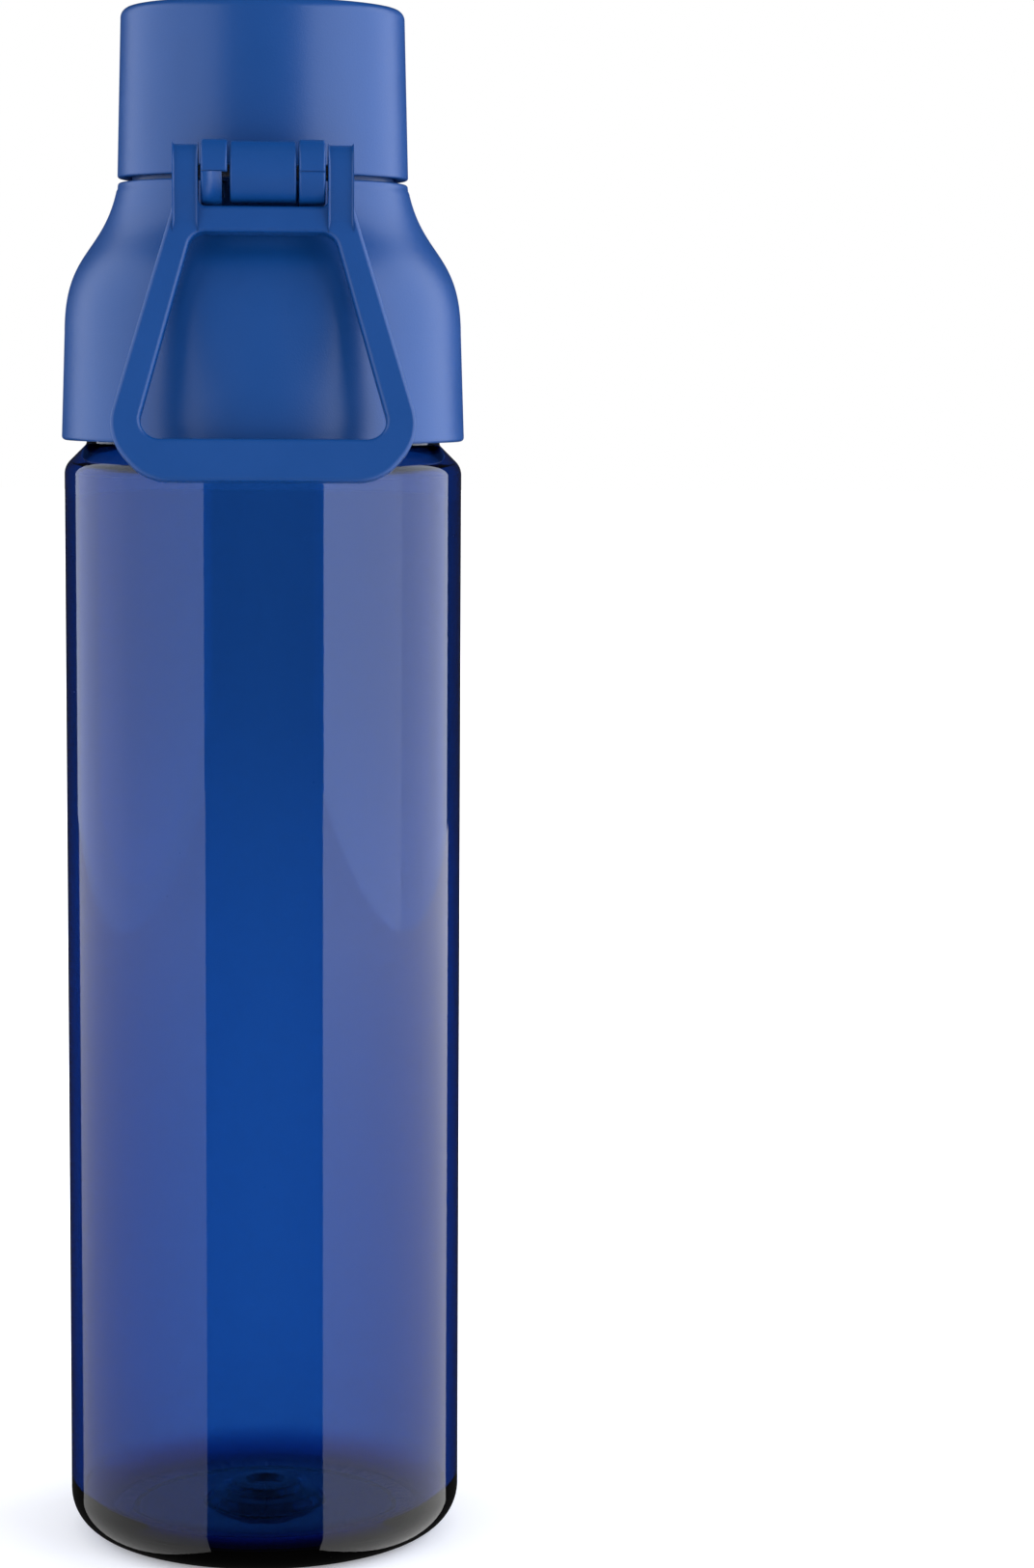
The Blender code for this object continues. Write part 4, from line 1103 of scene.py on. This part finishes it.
def place_camera():
    """Looks at the hinge side from 682 mm away, a little down, with the bottle left of the middle."""
    data = bpy.data.cameras.new("camera")
    data.sensor_width = 36.0
    data.lens = 87.5
    data.clip_start = 0.01
    camera = bpy.data.objects.new("camera", data)
    bpy.context.scene.collection.objects.link(camera)
    pitch, yaw, roll = CAMERA_PITCH, CAMERA_YAW, CAMERA_ROLL
    forward = np.array([-math.sin(yaw) * math.cos(pitch), -math.cos(yaw) * math.cos(pitch), math.sin(pitch)])
    right = np.array([-math.cos(yaw), math.sin(yaw), 0.0])
    up = np.cross(right, forward)
    turned_right = math.cos(roll) * right + math.sin(roll) * up
    turned_up = math.cos(roll) * up - math.sin(roll) * right
    matrix = np.eye(4)
    matrix[:3, 0], matrix[:3, 1], matrix[:3, 2] = turned_right, turned_up, -forward
    matrix[:3, 3] = CAMERA_PLACE
    camera.matrix_world = Matrix(matrix.tolist())
    bpy.context.scene.camera = camera


def area_light(name, place, aim, size, radiance, colour=(1, 1, 1)):
    """A rectangular softbox given by its radiance, which is power / (area x pi)."""
    data = bpy.data.lights.new(name, "AREA")
    data.shape = "RECTANGLE"
    data.size, data.size_y = size
    data.color = colour
    data.energy = radiance * size[0] * size[1] * math.pi
    lamp = bpy.data.objects.new(name, data)
    bpy.context.scene.collection.objects.link(lamp)
    lamp.location = place
    lamp.rotation_euler = (Vector(aim) - Vector(place)).to_track_quat("-Z", "Y").to_euler()
    lamp.visible_camera = False
    return lamp


class BOTTLE_OT_studio(bpy.types.Operator):
    """Makes the pale floor with its painted glow, the white surroundings, the four tall softboxes and the
    camera
    """

    bl_idname = "bottle.studio"
    bl_label = "Studio"

    def execute(self, context):
        scene = context.scene
        scene.view_settings.view_transform = "Standard"
        place_camera()
        bright = finish_settings().softbox
        middle_z = SOFTBOX_HEIGHT / 2
        for name, side, middle, width, share in SOFTBOXES:
            area_light(name, (side * SOFTBOX_X, middle, middle_z), (0, middle, middle_z),
                       (width, SOFTBOX_HEIGHT), share * bright, SOFTBOX_COLOUR)
        self.surroundings(scene)
        floor = bpy.data.meshes.new("floor")
        corners = [(-1, -1), (1, -1), (1, 1), (-1, 1)]
        floor.from_pydata([(x * FLOOR_REACH, y * FLOOR_REACH, 0) for x, y in corners], [], [(0, 1, 2, 3)])
        floor.materials.append(self.pale_floor_painted_glow(bright))
        ground = bpy.data.objects.new("floor", floor)
        scene.collection.objects.link(ground)
        return {"FINISHED"}

    def surroundings(self, scene):
        """White to the camera and through clear plastic, dim in reflections, and pale as diffuse light."""
        world = bpy.data.worlds.new("white surroundings")
        scene.world = world
        world.use_nodes = True
        tree = world.node_tree
        tree.nodes.clear()
        path = tree.nodes.new("ShaderNodeLightPath").outputs
        seen = math_node(tree, "MAXIMUM", path["Is Camera Ray"], path["Is Transmission Ray"])
        strength = math_node(tree, "MULTIPLY_ADD", path["Is Glossy Ray"], GLOSSY_WORLD - DIFFUSE_WORLD,
                             DIFFUSE_WORLD)
        strength = math_node(tree, "MAXIMUM", seen, strength)
        glow = node(tree, "ShaderNodeBackground", Color=(1, 1, 1, 1), Strength=strength)
        out = tree.nodes.new("ShaderNodeOutputWorld")
        tree.links.new(glow.outputs[0], out.inputs["Surface"])

    def pale_floor_painted_glow(self, bright):
        """A pale matt floor with painted light: it glows white away from the bottle, and in reflections only in
        two side sectors.

        Seen straight on, its painted glow rises from 0.25 to 1 between 40 and 300 mm from the bottle's axis,
        and through clear plastic it glows at 0.2. Mirrored, its painted reflection of the softboxes' light
        rises from 0.6 to 1 between 100 and 800 mm, times the side's share, and is dim outside the sectors.
        """
        made, tree, shader = new_material("pale_floor_painted_glow")
        path = tree.nodes.new("ShaderNodeLightPath").outputs
        shader.inputs["Base Color"].default_value = (0.86, 0.86, 0.87, 1)
        shader.inputs["Roughness"].default_value = 0.7
        shader.inputs["Specular IOR Level"].default_value = 0.0
        place = tree.nodes.new("ShaderNodeTexCoord").outputs["Object"]
        split = node(tree, "ShaderNodeSeparateXYZ", Vector=place)
        across = math_node(tree, "ABSOLUTE", split.outputs["X"])
        # Painted reflection: glossy rays see the floor glow inside two side sectors, as if the softboxes lit it
        sectors = []
        for slope, limit in (FLOOR_FRONT, FLOOR_BEHIND):
            leant = math_node(tree, "MULTIPLY_ADD", split.outputs["Y"], slope, across)
            sectors.append(math_node(tree, "GREATER_THAN", leant, limit))
        away = node(tree, "ShaderNodeVectorMath", i0=place)
        away.operation = "LENGTH"
        away = away.outputs["Value"]
        fall = node(tree, "ShaderNodeMapRange", Value=away, From_Min=0.1, From_Max=0.8, To_Min=0.6)
        painted_reflection = math_node(tree, "MULTIPLY", math_node(tree, "MULTIPLY", *sectors), fall.outputs[0])
        inside = math_node(tree, "LESS_THAN", across, SOFTBOX_X)
        right = math_node(tree, "LESS_THAN", split.outputs["X"], 0.0)
        side = math_node(tree, "MULTIPLY_ADD", right, 0.6 * bright, 1.0 * bright)
        painted_reflection = math_node(tree, "MULTIPLY", math_node(tree, "MULTIPLY", painted_reflection, inside), side)
        # Painted light: camera rays see the floor glow more away from the bottle, and rays through clear
        # plastic see it glow at 0.2
        spread = node(tree, "ShaderNodeMapRange", Value=away, From_Min=0.04, From_Max=0.3, To_Min=0.25)
        glow = math_node(tree, "MULTIPLY", spread.outputs[0], path["Is Camera Ray"])
        glow = math_node(tree, "MULTIPLY_ADD", path["Is Transmission Ray"], 0.2, glow)
        shader.inputs["Emission Color"].default_value = (1, 1, 1, 1)
        tree.links.new(glow, shader.inputs["Emission Strength"])
        mirrored = tree.nodes.new("ShaderNodeEmission")
        mirrored.inputs["Color"].default_value = (1, 1, 1, 1)
        tree.links.new(math_node(tree, "MAXIMUM", painted_reflection, GLOSSY_WORLD), mirrored.inputs["Strength"])
        mirror = math_node(tree, "SUBTRACT", path["Is Glossy Ray"], path["Is Transmission Ray"])
        mirror = math_node(tree, "MAXIMUM", mirror, 0.0)
        choice = node(tree, "ShaderNodeMixShader", i0=mirror, i1=shader.outputs[0], i2=mirrored.outputs[0])
        tree.links.new(choice.outputs[0], tree.nodes["Material Output"].inputs["Surface"])
        return made


class BOTTLE_PT_sidebar(bpy.types.Panel):
    """Lists the bottle's pieces and settings"""

    bl_idname = "BOTTLE_PT_sidebar"
    bl_label = "Drink Bottle"
    bl_space_type = "VIEW_3D"
    bl_region_type = "UI"
    bl_category = "Bottle"

    def draw(self, context):
        column = self.layout.column()
        for group in (context.scene.bottle_sizes, context.scene.bottle_finish):
            for name in group.bl_rna.properties.keys():
                if name not in ("rna_type", "name"):
                    column.prop(group, name)
        for operator in PIECES:
            column.operator(operator.bl_idname)


PIECES = (
    BOTTLE_OT_studio,
    BOTTLE_OT_body,
    BOTTLE_OT_collar,
    BOTTLE_OT_lid,
    BOTTLE_OT_button,
    BOTTLE_OT_wire,
    BOTTLE_OT_loop,
    BOTTLE_OT_hinge,
    BOTTLE_OT_seals,
)


def register():
    for kind in (BottleSizes, BottleFinish, *PIECES, BOTTLE_PT_sidebar):
        bpy.utils.register_class(kind)
    bpy.types.Scene.bottle_sizes = bpy.props.PointerProperty(type=BottleSizes)
    bpy.types.Scene.bottle_finish = bpy.props.PointerProperty(type=BottleFinish)


def unregister():
    del bpy.types.Scene.bottle_finish
    del bpy.types.Scene.bottle_sizes
    for kind in reversed((BottleSizes, BottleFinish, *PIECES, BOTTLE_PT_sidebar)):
        bpy.utils.unregister_class(kind)


def main():
    register()
    for piece in PIECES:
        family, name = piece.bl_idname.split(".")
        getattr(getattr(bpy.ops, family), name)()


if __name__ == "__main__":
    main()
